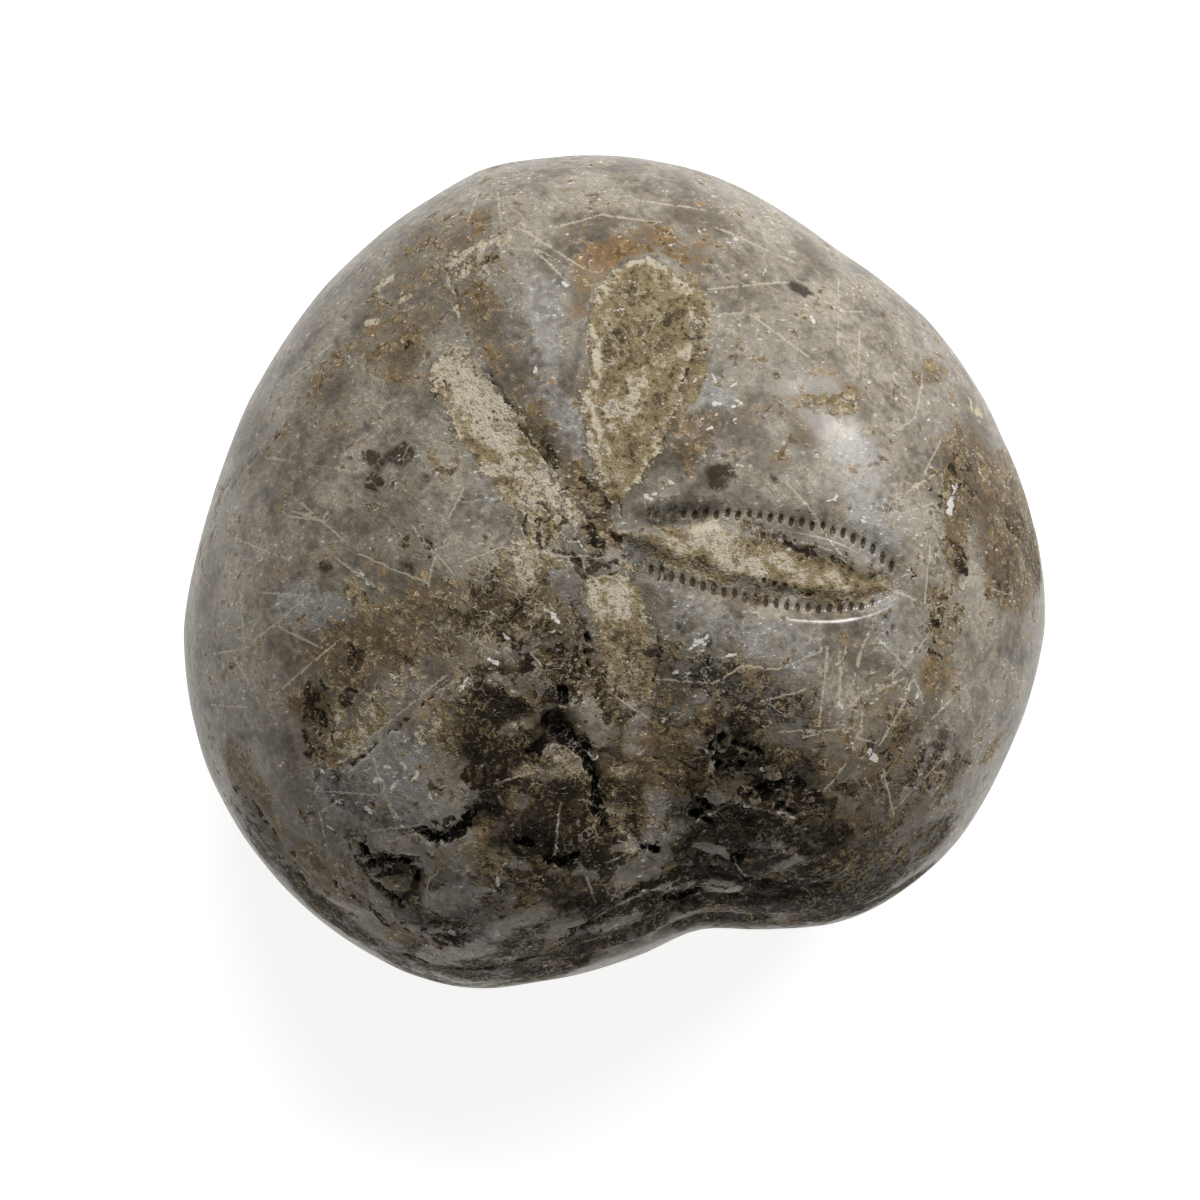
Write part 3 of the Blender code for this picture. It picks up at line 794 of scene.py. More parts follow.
# Ground that is paler than the rest. The row on the plates at the lower right is their own paler tone;
# the broad rows over the upper right, the left and the right are painted light, and the strong row above
# the open petal's end is a painted highlight.
PALE_AND_PAINTED_LIGHT = (
    (4, 0.4, (660, 190), (800, 250), (880, 330)),
    (3, 0.9, (840, 430), (880, 500)),
    (1.6, 0.7, (750, 390), (770, 450)),
    (1.2, 0.7, (828, 680), (862, 722)),
    (2.4, 0.7, (960, 600), (985, 680)),
    (1.5, 0.6, (915, 590), (905, 640)),
    (2, 0.4, (230, 520), (250, 620)),
    (3, 0.5, (930, 560), (960, 700)),
    (1.6, 0.4, (900, 600), (930, 620)),
    (3.0, 0.4, (755, 380), (755, 460)),
    (5.0, 0.35, (270, 500), (275, 720)),
    (4.0, 0.35, (950, 600), (980, 690)),
)
# Ground that is darker than the rest: dark broken ground at the front, and painted shade in the long rows
# along the lower edge.
DIM_AND_EDGE_SHADE = (
    # The long rows along the lower edge, these two among them, are painted shade.
    (2.2, 0.85, (700, 922), (780, 927), (850, 914), (905, 888)),
    (2.0, 0.75, (420, 978), (500, 988), (570, 962)),
    (3.2, 1, (510, 740), (600, 830), (540, 850)),
    (1.6, 0.7, (480, 700), (500, 680)),
    (2.0, 0.6, (545, 690), (500, 720)),
    (1.6, 0.6, (545, 640), (535, 670)),
    (3.2, 0.35, (330, 810), (410, 870)),
    (3.2, 0.62, (430, 900), (500, 930)),
    (4, 0.75, (640, 850), (760, 850), (850, 860)),
    (2.4, 0.9, (620, 900), (700, 890), (800, 905), (850, 900)),
    (3.2, 0.5, (560, 640), (520, 700)),
    (3.6, 0.7, (520, 790), (600, 790), (560, 880)),
    (3, 0.55, (700, 760), (780, 760)),
    (1.2, 0.3, (380, 500), (430, 540)),
    (2.5, 0.45, (880, 810), (940, 770)),
    (1.5, 0.5, (470, 970), (560, 950)),
    (1.5, 0.5, (965, 475), (985, 520), (1000, 565)),
    (1.3, 0.45, (1015, 520), (1035, 570)),
    (0.6, 0.45, (750, 528), (800, 545), (850, 562), (885, 576)),
    (0.5, 0.45, (690, 583), (760, 590), (830, 598)),
    (3.0, 0.3, (500, 640), (560, 700)),
    (3.0, 0.3, (640, 700), (740, 700)),
    (3, 0.55, (700, 690), (780, 720)),
    (2, 0.3, (440, 640), (500, 620)),
    (1.2, 0.45, (640, 545), (660, 580)),
    (2.4, 0.7, (430, 960), (500, 975), (580, 950), (640, 925)),
    (2.0, 0.6, (250, 830), (320, 905), (400, 960)),
    (2.2, 0.7, (860, 890), (930, 840)),
    (2.6, 0.65, (650, 690), (760, 700)),
    (2.4, 0.45, (500, 610), (560, 650)),
    (3.0, 0.35, (860, 780), (920, 740)),
)
# The dark layers fade in between these heights, up the sides.
FADING_LAYERS = ("dim_and_edge_shade", "stain", "worms", "soot_and_shade")
STAIN_FADE = (8.0, 15.0)
# Healed hairlines between the plates, each a route of places in the picture.
HAIRLINES = (
    ((345, 760), (394, 718), (443, 678)),
    ((880, 640), (905, 667), (880, 684), (842, 700)),
    ((838, 656), (838, 690)),
    ((850, 690), (858, 655), (866, 640)),
    ((905, 667), (925, 640)),
    ((885, 585), (915, 600)),
    ((903, 700), (908, 684), (914, 680), (922, 700)),
    ((895, 500), (893, 530)),
    ((980, 560), (964, 585)),
    ((560, 805), (558, 820), (554, 850)),
    ((500, 780), (515, 775), (530, 772)),
    ((583, 560), (586, 575), (596, 579), (606, 576), (620, 580)),
    ((587, 878), (594, 898)),
    ((600, 916), (612, 908), (625, 903), (655, 890)),
    ((735, 862), (745, 875), (760, 878)),
    ((622, 842), (640, 850)),
    ((534, 656), (545, 670)),
    ((716, 735), (715, 762)),
    ((805, 735), (826, 728), (845, 731)),
    ((860, 718), (858, 738), (873, 742)),
    ((835, 700), (858, 712)),
    ((838, 700), (880, 690), (900, 680)),
    ((560, 556), (585, 556)),
    ((340, 800), (320, 812), (324, 832)),
    ((392, 840), (420, 830)),
    ((384, 780), (392, 805), (400, 815)),
    ((440, 868), (428, 880), (426, 895)),
    ((310, 596), (276, 625), (257, 639)),
    ((276, 625), (318, 646)),
    ((335, 644), (312, 663), (278, 692)),
    ((243, 595), (245, 640)),
    ((214, 654), (247, 648)),
    ((234, 656), (257, 698)),
    ((213, 705), (245, 707)),
    ((264, 593), (302, 596)),
    ((364, 556), (396, 570), (427, 583)),
    ((417, 531), (452, 572)),
    ((436, 558), (429, 583)),
    ((270, 459), (357, 473)),
    ((295, 518), (325, 522), (333, 512)),
    ((463, 493), (452, 516)),
    ((703, 291), (788, 284)),
    ((714, 316), (861, 313)),
    ((752, 319), (802, 357)),
    ((923, 375), (914, 419), (887, 436)),
    ((661, 679), (714, 682), (741, 666), (776, 669), (820, 651)),
    ((788, 486), (817, 518), (842, 556)),
    ((526, 238), (580, 269)),
    ((537, 258), (566, 283)),
    ((293, 378), (331, 347)),
    ((838, 281), (835, 345)),
    ((858, 331), (855, 375)),
    ((902, 495), (931, 477)),
    ((826, 651), (817, 721)),
    ((844, 651), (835, 701)),
    ((861, 651), (848, 692)),
    ((848, 704), (890, 674)),
    ((861, 715), (855, 736), (873, 742)),
    ((782, 730), (849, 727)),
    ((823, 789), (841, 765)),
    ((882, 771), (893, 812)),
    ((893, 812), (946, 754)),
    ((500, 200), (503, 226)),
    ((375, 760), (383, 787), (395, 815)),
    ((310, 790), (380, 794)),
    ((370, 830), (420, 823)),
    ((440, 690), (452, 683)),
    ((352, 770), (372, 752)),
    ((700, 820), (740, 800), (790, 815)),
    ((760, 700), (800, 690)),
    ((688, 760), (722, 752)),
    ((905, 700), (880, 740)),
    ((930, 720), (960, 690)),
    ((610, 860), (640, 850)),
    ((240, 540), (290, 560)),
    ((300, 500), (345, 540)),
    ((620, 700), (650, 720)),
    ((470, 560), (500, 548)),
    ((340, 560), (380, 590)),
    ((940, 440), (925, 470)),
    ((480, 200), (470, 225)),
    ((560, 230), (600, 215), (660, 222)),
    ((640, 200), (700, 210)),
    ((720, 230), (790, 262)),
    ((880, 520), (930, 505)),
    ((930, 540), (925, 600)),
)
PAINT_LAYERS = {
    "chalk": CHALK,
    "ochre": OCHRE,
    "shade": SHADE,
    "rust": RUST,
    "stain": STAIN,
    "worms": WORMS,
    "soot_and_shade": SOOT_AND_EDGE_SHADE,
    "light": LIGHT_AND_LEDGE_HIGHLIGHTS,
    "spots": SPOTS,
    "blue": BLUE,
    "shaded_pits": PITS_WITH_PAINTED_SHADE,
    "ink_and_edge_shade": INK_AND_EDGE_SHADE,
    "white": WHITE,
    "gloss": GLOSS,
    "pale": PALE_AND_PAINTED_LIGHT,
    "dim_and_edge_shade": DIM_AND_EDGE_SHADE,
}
CRISP_LAYERS = ("shaded_pits", "ink_and_edge_shade", "white")  # marks so small that the mesh is finest round them


def length_property(name, description, default, smallest):
    """A length that the sidebar shows in the scene's units. The default and the least are millimetres."""
    return FloatProperty(
        name=name, description=description, default=default * MM, min=smallest * MM, unit="LENGTH"
    )


def colour_property(name, description, default):
    return FloatVectorProperty(
        name=name, description=description, default=default, size=3, min=0, max=1, subtype="COLOR"
    )


class TestSizes(bpy.types.PropertyGroup):
    """Sizes of the stone."""

    height: length_property("Height", "Height of the plain dome, before the swells and the keel", 31.0, 5)
    girth_height: length_property("Girth height", "Height at which the stone is widest", 12.5, 1)
    sole_depth: length_property(
        "Sole depth",
        "How far the rounded underside would reach below the girth before it is ground flat",
        13.4,
        1,
    )
    pore_pitch: length_property(
        "Pore pitch", "Distance from one pore to the next in the open petal", 0.61, 0.2
    )
    pore_depth: length_property("Pore depth", "Depth of each pore in the open petal", 0.16, 0)
    broken_depth: length_property(
        "Broken depth", "How deeply the broken ground at the front is stepped", 0.45, 0
    )
    divisions: IntProperty(
        name="Divisions",
        description="Subdivisions of the sphere that the stone is carved from",
        default=6,
        min=4,
        max=6,
    )
    seed: IntProperty(
        name="Seed",
        description="Start of the noise that makes the edges of the marks uneven",
        default=3,
        min=1,
    )


class StoneColours(bpy.types.PropertyGroup):
    """Colours of the stone's finishes."""

    grey: colour_property("Grey", "Polished calcite", (0.270, 0.242, 0.196))
    dark_grey: colour_property("Dark grey", "Darker mottles in the calcite", (0.136, 0.115, 0.087))
    blue_grey: colour_property("Blue grey", "Clear plates that look bluish", (0.245, 0.240, 0.230))
    chalk: colour_property("Chalk", "Palest sediment in the petals", (0.520, 0.460, 0.355))
    ochre: colour_property("Ochre", "Tan sediment", (0.260, 0.200, 0.110))
    dark_earth: colour_property("Dark earth", "Darkest infill of the sediment", (0.060, 0.046, 0.026))
    brown: colour_property("Brown", "Stain in the calcite", (0.152, 0.102, 0.046))
    rust: colour_property("Rust", "Orange stain round the sediment", (0.185, 0.110, 0.046))
    # Murk, soot and darkened pore colour are also laid as painted shade along the lower edge, the ledges at
    # the notch and in the pits.
    murk: colour_property("Murk", "Lighter crumbs in the broken ground", (0.154, 0.110, 0.058))
    soot_and_shade: colour_property("Soot", "Dark crust in the broken ground", (0.016, 0.012, 0.008))
    pore: colour_property("Pore", "Plugs of the pores", (0.055, 0.038, 0.022))
    fleck: colour_property("Fleck", "White flecks and healed hairlines", (0.620, 0.600, 0.560))


class StageSettings(bpy.types.PropertyGroup):
    """The floor, the lights and the camera."""

    floor_size: FloatProperty(
        name="Floor size", description="Width of the square floor", default=3.0, min=0.5, unit="LENGTH"
    )
    floor_colour: colour_property("Floor", "The plain pale floor", (0.40, 0.40, 0.40))
    floor_glow: FloatProperty(
        name="Floor glow", description="How brightly the floor is lit from below", default=0.85, min=0
    )
    surround: FloatProperty(
        name="Surround",
        description="Light from all round; the surroundings look white",
        default=0.13,
        min=0,
    )
    side_power: FloatProperty(
        name="Side light",
        description="Power of the soft light on the right",
        default=2.9,
        min=0,
        subtype="POWER",
    )
    back_power: FloatProperty(
        name="Back light",
        description="Power of the soft light behind",
        default=3.4,
        min=0,
        subtype="POWER",
    )


# ---- Shape ----


def smoothstep(low, high, x):
    """0 below low, 1 above high, and smooth between. With low above high it falls instead."""
    share = np.clip((x - low) / (high - low), 0, 1)
    return share * share * (3 - 2 * share)


def bump(x):
    """A smooth rise from 0 at |x| = 1 to 1 at x = 0."""
    return smoothstep(1, 0, np.abs(x))


def along_curve(points, x):
    """Value at x of the smooth curve through (position, value) points, level at both ends."""
    position, value = np.array(points, float).T
    slope = np.gradient(value, position)
    slope[[0, -1]] = 0
    index = np.clip(np.searchsorted(position, x, side="right") - 1, 0, len(position) - 2)
    step = position[index + 1] - position[index]
    share = np.clip((x - position[index]) / step, 0, 1)
    eased = share * share * (3 - 2 * share)
    bend = step * share * (1 - share) * (slope[index] * (1 - share) - slope[index + 1] * share)
    return value[index] * (1 - eased) + value[index + 1] * eased + bend


def smooth_test(directions, sizes):
    """Point of the plain heart-shaped test in each direction from the middle of its girth."""
    x, y, z = directions.T
    from_back = np.degrees(np.arctan2(x, y))
    right_half = [(bearing, right) for bearing, right, _ in OUTLINE]
    left_half = [(bearing, left) for bearing, _, left in OUTLINE]
    sides = along_curve(right_half, np.abs(from_back)), along_curve(left_half, np.abs(from_back))
    plan = np.where(from_back > 0, *sides)
    backness = np.clip(np.cos(np.radians(from_back)), 0, 1) ** 2
    above = z > 0
    girth_height = sizes.girth_height / MM
    tall = np.where(above, sizes.height / MM - girth_height, sizes.sole_depth / MM)
    power = np.where(above, DOME_POWER + BACK_SQUARENESS * backness, SOLE_POWER)
    inverse = (np.hypot(x, y) / plan) ** power + (np.abs(z) / tall) ** power
    return directions * (inverse ** (-1 / power))[:, None] + np.array([*GIRTH_CENTRE, girth_height])


def petal_place(points, petal):
    """Distance of each point along the petal from its foot, and across it from its middle line."""
    turn = math.radians(petal.bearing)
    x, y = points[:, 0] - petal.foot_x, points[:, 1] - petal.foot_y
    along, across = x * math.cos(turn) + y * math.sin(turn), y * math.cos(turn) - x * math.sin(turn)
    if petal == PETALS[OPEN_PETAL]:
        across = across + OPEN_BEND * np.clip(along / petal.length, 0, 1) ** 3
        along = along - OPEN_SLANT * across
    return along, across


def inside_petal(points, petal):
    """How far each point is inside the petal's edge, negative outside it."""
    along, across = petal_place(points, petal)
    share = np.clip(along / petal.length, 0, 1)
    taper = np.sin(0.5 * math.pi * np.clip(share / petal.widest, 0, 1)) ** petal.taper
    round_end = np.sqrt(1 - np.clip((share - petal.widest) / (1 - petal.widest), 0, 1) ** 2)
    past_ends = np.maximum(along - petal.length, -along).clip(0)
    inside = petal.half_width * taper * round_end - np.abs(across) - past_ends
    return np.where(points[:, 2] > UPPER_SIDE, inside, -FAR_OUTSIDE)


def petal_relief(points):
    """The sunk petals, with sediment left standing in the open one."""
    relief = np.zeros(len(points))
    for name, petal in PETALS.items():
        inside = inside_petal(points, petal)
        along, _ = petal_place(points, petal)
        sunk = smoothstep(*RIM, inside) * smoothstep(*FOOT_FADE, along)
        if name == OPEN_PETAL:
            sunk -= FILL_SHARE * smoothstep(*FILL_RISE, inside)
        relief = np.minimum(relief, -petal.sunk * sunk)
    return relief


def pore_field(points, pitch):
    """1 in the middle of each pore of the open petal, 0 at its edge and below 0 between pores."""
    petal = PETALS[OPEN_PETAL]
    along, across = petal_place(points, petal)
    inside = inside_petal(points, petal)
    left = across > 0
    best = np.full(len(points), -1.0)
    for number, row in enumerate(PORE_ROWS):
        step = (along + OPEN_SLANT * across) / pitch + np.where(left, 0.0, PORE_LAG) + 0.5 * number
        off_along = (step - np.round(step)) * pitch
        uneven = PORE_UNEVENNESS * np.sin(9.1 * np.round(step) + 3.3 * number + 2.0 * left)
        off_across = inside - row.depth_inside - uneven
        field = 1 - np.hypot(off_along / row.half_along, off_across / row.half_across)
        reach = smoothstep(row.start, row.full, along) * smoothstep(row.end, row.fade, along)
        patchy = 0.5 + 0.5 * np.sin(1.3 * along + 1.7 * left)
        reach = reach * (1 - row.patchiness + row.patchiness * patchy)
        best = np.maximum(best, (field + 1) * reach - 1)
    return best


def swell_relief(points):
    """Low swells that fill the sectors between the petals, on the upper side."""
    x, y = points[:, 0] - APEX[0], points[:, 1] - APEX[1]
    bearing = np.degrees(np.arctan2(y, x)) % 360
    rays = sorted(petal.bearing % 360 for petal in PETALS.values())
    rays = [rays[-1] - 360, *rays, rays[0] + 360]
    share = np.interp(bearing, rays, range(len(rays))) % 1
    away = np.hypot(x, y)
    start, full, fade, end = SWELL_SPAN
    span = smoothstep(start, full, away) * smoothstep(end, fade, away)
    upper = smoothstep(UPPER_SIDE, UPPER_SIDE + SWELL_FADE, points[:, 2])
    return SWELL_HEIGHT * np.sin(math.pi * share) ** 2 * span * upper


def keel_relief(points):
    """The keel along the back."""
    x, y, z = points.T
    span = smoothstep(0, 0.3, (y - KEEL["from"]) / (KEEL["to"] - KEEL["from"]))
    upper = smoothstep(*KEEL["fade"], z)
    return KEEL["height"] * bump((x - KEEL["across"]) / (2 * KEEL["half_width"])) * span * upper


def mouth_relief(points):
    """The kidney-shaped mouth under the front, and the lip that hangs over its back edge."""
    x, y, z = points.T
    relief = np.zeros(len(points))
    for shape in (MOUTH, LIP):
        across = (x - shape["x"]) / shape["half_width"]
        bowed = shape["y"] - MOUTH_BOW * shape["half_length"] * across**2
        relief += shape["push"] * smoothstep(1, 0.3, np.hypot(across, (y - bowed) / shape["half_length"]))
    return relief * (z < UNDERSIDE)


def sole_groove_relief(points):
    """Two grooves that leave the mouth together and part round the breast plate."""
    x, y, z = points.T
    share = (y - SOLE_GROOVE["from"]) / (SOLE_GROOVE["to"] - SOLE_GROOVE["from"])
    spread = SOLE_GROOVE["far"] - SOLE_GROOVE["near"]
    middle = SOLE_GROOVE["near"] + spread * smoothstep(0, 0.7, share)
    fade = smoothstep(0, 0.1, share) * smoothstep(1.2, 0.8, share)
    groove = bump((np.abs(x - MOUTH["x"]) - middle) / SOLE_GROOVE["half_width"])
    return -SOLE_GROOVE["depth"] * groove * fade * (z < UNDERSIDE)


def vent_relief(points):
    """The oval vent on the back end."""
    x, y, z = points.T
    from_middle = np.hypot((x - VENT["x"]) / VENT["half_width"], (z - VENT["z"]) / VENT["half_height"])
    return -VENT["depth"] * smoothstep(1, 0.3, from_middle) * (y > 0)


def hollow_relief(points):
    """The broken hollows at the front."""
    x, y, z = points.T
    relief = np.zeros(len(points))
    for middle_x, middle_y, radius, depth in HOLLOWS:
        relief -= depth * bump(np.hypot(x - middle_x, y - middle_y) / radius)
    return relief * (z > UPPER_SIDE)


def distance_to_route(points, route):
    """Distance in plan from each point to a broken line."""
    nearest = np.full(len(points), np.inf)
    for start, end in zip(np.array(route[:-1]), np.array(route[1:])):
        run = end - start
        share = np.clip(((points[:, :2] - start) @ run) / (run @ run), 0, 1)
        gap = points[:, :2] - start - share[:, None] * run
        nearest = np.minimum(nearest, np.hypot(gap[:, 0], gap[:, 1]))
    return nearest


def crack_relief(points):
    """The crooked crack at the front."""
    upper = points[:, 2] > UPPER_SIDE
    return -CRACK_DEPTH * bump(distance_to_route(points, CRACK_ROUTE) / CRACK_HALF_WIDTH) * upper


def ledge_relief(points):
    """Grooves worn round the front, one above the other, fading out to each side."""
    x, y, z = points.T
    front = smoothstep(*LEDGE_FADE, y) * smoothstep(LEDGE_REACH, 0.5 * LEDGE_REACH, np.abs(x))
    relief = np.zeros(len(points))
    for height, rise, depth in LEDGES:
        relief -= depth * bump((z - height - rise * x) / LEDGE_HALF_WIDTH)
    return relief * front


def fractal(points, size, octaves, seed=0.0):
    """Smooth noise between about -1 and 1, with lumps of the given size."""
    shift = Vector((seed, 2 * seed, 3 * seed))
    return np.array([
        noise.fractal(Vector(point) + shift, 0.9, 2.0, octaves, noise_basis="PERLIN_ORIGINAL")
        for point in points / size
    ])


def stepped(value, steps):
    """Turns smooth noise into flat steps with steep sides, as broken stone has."""
    scaled = value * steps
    lower = np.floor(scaled)
    return (lower + smoothstep(0.3, 0.7, scaled - lower)) / steps


def pitted_relief(sizes, layers, grit):
    """The single pores, the pits, and the thin cracks."""
    relief = -sizes.pore_depth / MM * smoothstep(-0.15, 0.55, layers["pores"])
    relief = relief - PIT_DEPTH * smoothstep(0.35, 0.65, layers["shaded_pits"] + 0.3 * grit)
    return relief - CUT_DEPTH * layers["ink_and_edge_shade"]


def crumbly_relief(points, sizes, layers, grit):
    """Granular sediment, and broken ground with its steps."""
    sediment = np.maximum(layers["chalk"], layers["ochre"]).clip(0, 1)
    broken = np.maximum(layers["soot_and_shade"], 0.5 * layers["stain"])
    relief = GRIT_HEIGHT * grit * np.maximum(sediment, 0.8 * broken)
    steps = stepped(fractal(points, STEP_SIZE, 4, 5.0) + 0.3, 3) - 0.3
    return relief + sizes.broken_depth / MM * np.minimum(steps, 0.2) * broken


def relief_of(points, sizes, layers):
    """How far each point of the smooth test is pushed out along its normal."""
    grit = fractal(points, GRIT_SIZE, 3)
    upper = swell_relief(points) + keel_relief(points) + petal_relief(points)
    broken = hollow_relief(points) + crack_relief(points) + ledge_relief(points) * (1 + 0.8 * grit)
    pitted = pitted_relief(sizes, layers, grit)
    crumbly = crumbly_relief(points, sizes, layers, grit)
    worn = WEAR_DEPTH * fractal(points, WEAR_SIZE, 2, 9.0)
    return upper + broken + pitted + crumbly + worn + mouth_relief(points) + vent_relief(points)


# ---- Mesh ----


def unit_positions(mesh):
    """The mesh's vertices as unit directions."""
    found = np.array([vert.co for vert in mesh.verts])
    return found / np.linalg.norm(found, axis=1)[:, None]


def place(mesh, points):
    """Moves the mesh's vertices to the points."""
    for vert, point in zip(mesh.verts, points):
        vert.co = point


def refine(mesh, sizes, zone):
    """Halves every edge whose two ends lie in the zone, and brings the new vertices back to the sphere."""
    wanted = zone(smooth_test(unit_positions(mesh), sizes))
    edges = [edge for edge in mesh.edges if all(wanted[vert.index] for vert in edge.verts)]
    bmesh.ops.subdivide_edges(mesh, edges=edges, cuts=1, use_grid_fill=True)
    bmesh.ops.triangulate(mesh, faces=[face for face in mesh.faces if len(face.verts) > 3])
    for vert in mesh.verts:
        vert.co.normalize()
    mesh.verts.index_update()


def upper_zone(points):
    """True over the upper side, and round the mouth, the grooves and the vent."""
    narrow = (mouth_relief(points) != 0) | (sole_groove_relief(points) != 0) | (vent_relief(points) != 0)
    return (points[:, 2] > UPPER_MESH) | narrow


def fine_zone(points):
    """True in the petals and over the stained and broken ground."""
    x, y, z = points.T
    fine = crisp_marks(points, FINE_MARGIN)
    for petal in PETALS.values():
        fine |= inside_petal(points, petal) > -PETAL_MARGIN
    for left, right, front, back, low in FINE_BOXES:
        fine |= (x > left) & (x < right) & (y > front) & (y < back) & (z > low)
    middle_x, middle_y, radius = FINE_ROUND
    return fine | (np.hypot(x - middle_x, y - middle_y) < radius)


def finest_zone(points):
    """True along the pore rows of the open petal and round the smallest marks."""
    low, high = PORE_BAND
    inside = inside_petal(points, PETALS[OPEN_PETAL])
    return ((inside > low) & (inside < high)) | crisp_marks(points, FINEST_MARGIN)


def crisp_marks(points, margin):
    """True on and within a margin of the marks of the crisp layers."""
    near = np.zeros(len(points), bool)
    surface = Surface(points)
    for name in CRISP_LAYERS:
        for radius, _, *route in PAINT_LAYERS[name]:
            for start, end in surface.runs(route):
                near |= distance_in_space(points, start, end) < 1.4 * radius + margin
    return near


def add_values(data, name, values):
    """Stores one number for each vertex, which the material reads by name."""
    data.attributes.new(name, "FLOAT", "POINT").data.foreach_set("value", values.astype(np.float32))


# ---- Marks ----


def distance_in_space(points, start, end):
    """Distance from each point to a straight run."""
    run = end - start
    length = run @ run
    share = np.clip(((points - start) @ run) / length, 0, 1) if length else np.zeros(len(points))
    return np.linalg.norm(points - start - share[:, None] * run, axis=1)


def camera_axes():
    """The camera's place, and the directions right, up and back in its view."""
    azimuth, elevation = math.radians(AZIMUTH), math.radians(ELEVATION)
    level = np.array([math.sin(azimuth), -math.cos(azimuth), 0])
    back = math.cos(elevation) * level + np.array([0, 0, math.sin(elevation)])
    right = np.array([math.cos(azimuth), math.sin(azimuth), 0])
    return np.array(TARGET) + AWAY * back, right, np.cross(back, right), back


class Surface:
    """The smooth stone's points, with the place of each in the camera's picture."""

    def __init__(self, points):
        self.points = points
        self.camera, self.right, self.up, self.back = camera_axes()
        self.depth = (self.camera - points) @ self.back
        self.scale = FRAME * LENS / SENSOR
        self.across = FRAME / 2 + self.scale * ((points - self.camera) @ self.right) / self.depth
        self.down = FRAME * (0.5 + SHIFT_UP) - self.scale * ((points - self.camera) @ self.up) / self.depth
        self.seen = points[:, 2] > SEEN_ABOVE

    def stop(self, place):
        """The point of the stone at a place in the picture."""
        across, down = place
        gap = np.where(self.seen, np.hypot(self.across - across, self.down - down), np.inf)
        depth = self.depth[np.argmin(gap)]
        sideways = (across - FRAME / 2) / self.scale * self.right
        upwards = (FRAME * (0.5 + SHIFT_UP) - down) / self.scale * self.up
        return self.camera + depth * (sideways + upwards - self.back)

    def runs(self, route):
        """The straight runs of a route of places, as pairs of points."""
        stops = [self.stop(place) for place in route]
        return list(zip(stops[:-1], stops[1:]))


def wandering(points, *swings):
    """The points moved by smooth noise, so that paint laid on them gets uneven edges."""
    for amount, size in swings:
        points = points + amount * np.array([noise.noise_vector(Vector(point / size)) for point in points])
    return points


def paint(surface, points, marks):
    """Strength of one layer of paint at each point, from 0 to 1, falling by half at a mark's radius."""
    layer = np.zeros(len(points))
    for radius, strength, *route in marks:
        for start, end in surface.runs(route):
            share = smoothstep(1.5 * radius, 0.5 * radius, distance_in_space(points, start, end))
            layer = np.maximum(layer, strength * share)
    return layer


def nearest_hairline(surface):
    """Signed distance across the nearest hairline, and the plain distance to it."""
    points = surface.points
    side = np.full(len(points), HAIRLINE_REACH)
    nearest = np.full(len(points), HAIRLINE_REACH)
    for route in HAIRLINES:
        for start, end in surface.runs(route):
            gap = distance_in_space(points, start, end)
            across = np.cross(end - start, surface.back)
            across /= np.linalg.norm(across)
            closer = gap < nearest
            nearest = np.where(closer, gap, nearest)
            side = np.where(closer, (points - start) @ across, side)
    return side, nearest


def painted_layers(points, sizes):
    """The layers of paint, and the other numbers for each vertex that the material reads."""
    surface = Surface(points)
    wandered = wandering(points, *WANDER)
    unsteady = wandering(points, *CRISP_WANDER)
    layers = {
        name: paint(surface, unsteady if name in CRISP_LAYERS else wandered, marks)
        for name, marks in PAINT_LAYERS.items()
    }
    fading = smoothstep(*STAIN_FADE, wandering(points, FADE_WANDER)[:, 2])
    for name in FADING_LAYERS:
        layers[name] *= fading
    layers["pores"] = pore_field(points, sizes.pore_pitch / MM)
    layers["fill"] = np.max([inside_petal(wandered, PETALS[name]) for name in SEDIMENT_PETALS], axis=0)
    layers["hairline_side"], layers["hairline_gap"] = nearest_hairline(surface)
    return layers


def build_test(sizes):
    """The stone's mesh, and the layers of numbers on its vertices."""
    noise.seed_set(sizes.seed)
    mesh = bmesh.new()
    bmesh.ops.create_icosphere(mesh, subdivisions=sizes.divisions, radius=1)
    mesh.verts.index_update()
    for zone in (upper_zone, fine_zone, finest_zone):
        refine(mesh, sizes, zone)
    points = smooth_test(unit_positions(mesh), sizes)
    place(mesh, points)
    mesh.normal_update()
    normals = np.array([vert.normal for vert in mesh.verts])
    layers = painted_layers(points, sizes)
    groove = sole_groove_relief(points)
    points = points + normals * relief_of(points, sizes, layers)[:, None]
    points[:, 2] = np.maximum(points[:, 2], 0) - groove
    place(mesh, points * MM)
    return mesh, layers


# ---- Nodes ----

WHITE_LIGHT = (1, 1, 1, 1)
STEP = {"interpolation_type": "SMOOTHSTEP"}


class Signal:
    """One varying number in a material, with the usual arithmetic."""

    def __init__(self, bench, socket):
        self.bench = bench
        self.socket = socket

    def __add__(self, other):
        return self.bench.math("ADD", self, other)

    __radd__ = __add__

    def __sub__(self, other):
        return self.bench.math("SUBTRACT", self, other)

    def __rsub__(self, other):
        return self.bench.math("SUBTRACT", other, self)

    def __mul__(self, other):
        return self.bench.math("MULTIPLY", self, other)

    __rmul__ = __mul__

    def __abs__(self):
        return self.bench.math("ABSOLUTE", self)

    def most(self, other):
        return self.bench.math("MAXIMUM", self, other)

    def step(self, low, high):
        """0 below low, 1 above high, and smooth between. With low above high it falls instead."""
        ends = {"From Min": min(low, high), "From Max": max(low, high)}
        levels = {"To Min": float(low > high), "To Max": float(low < high)}
        return self.bench.signal("ShaderNodeMapRange", {"Value": self, **ends, **levels}, STEP)


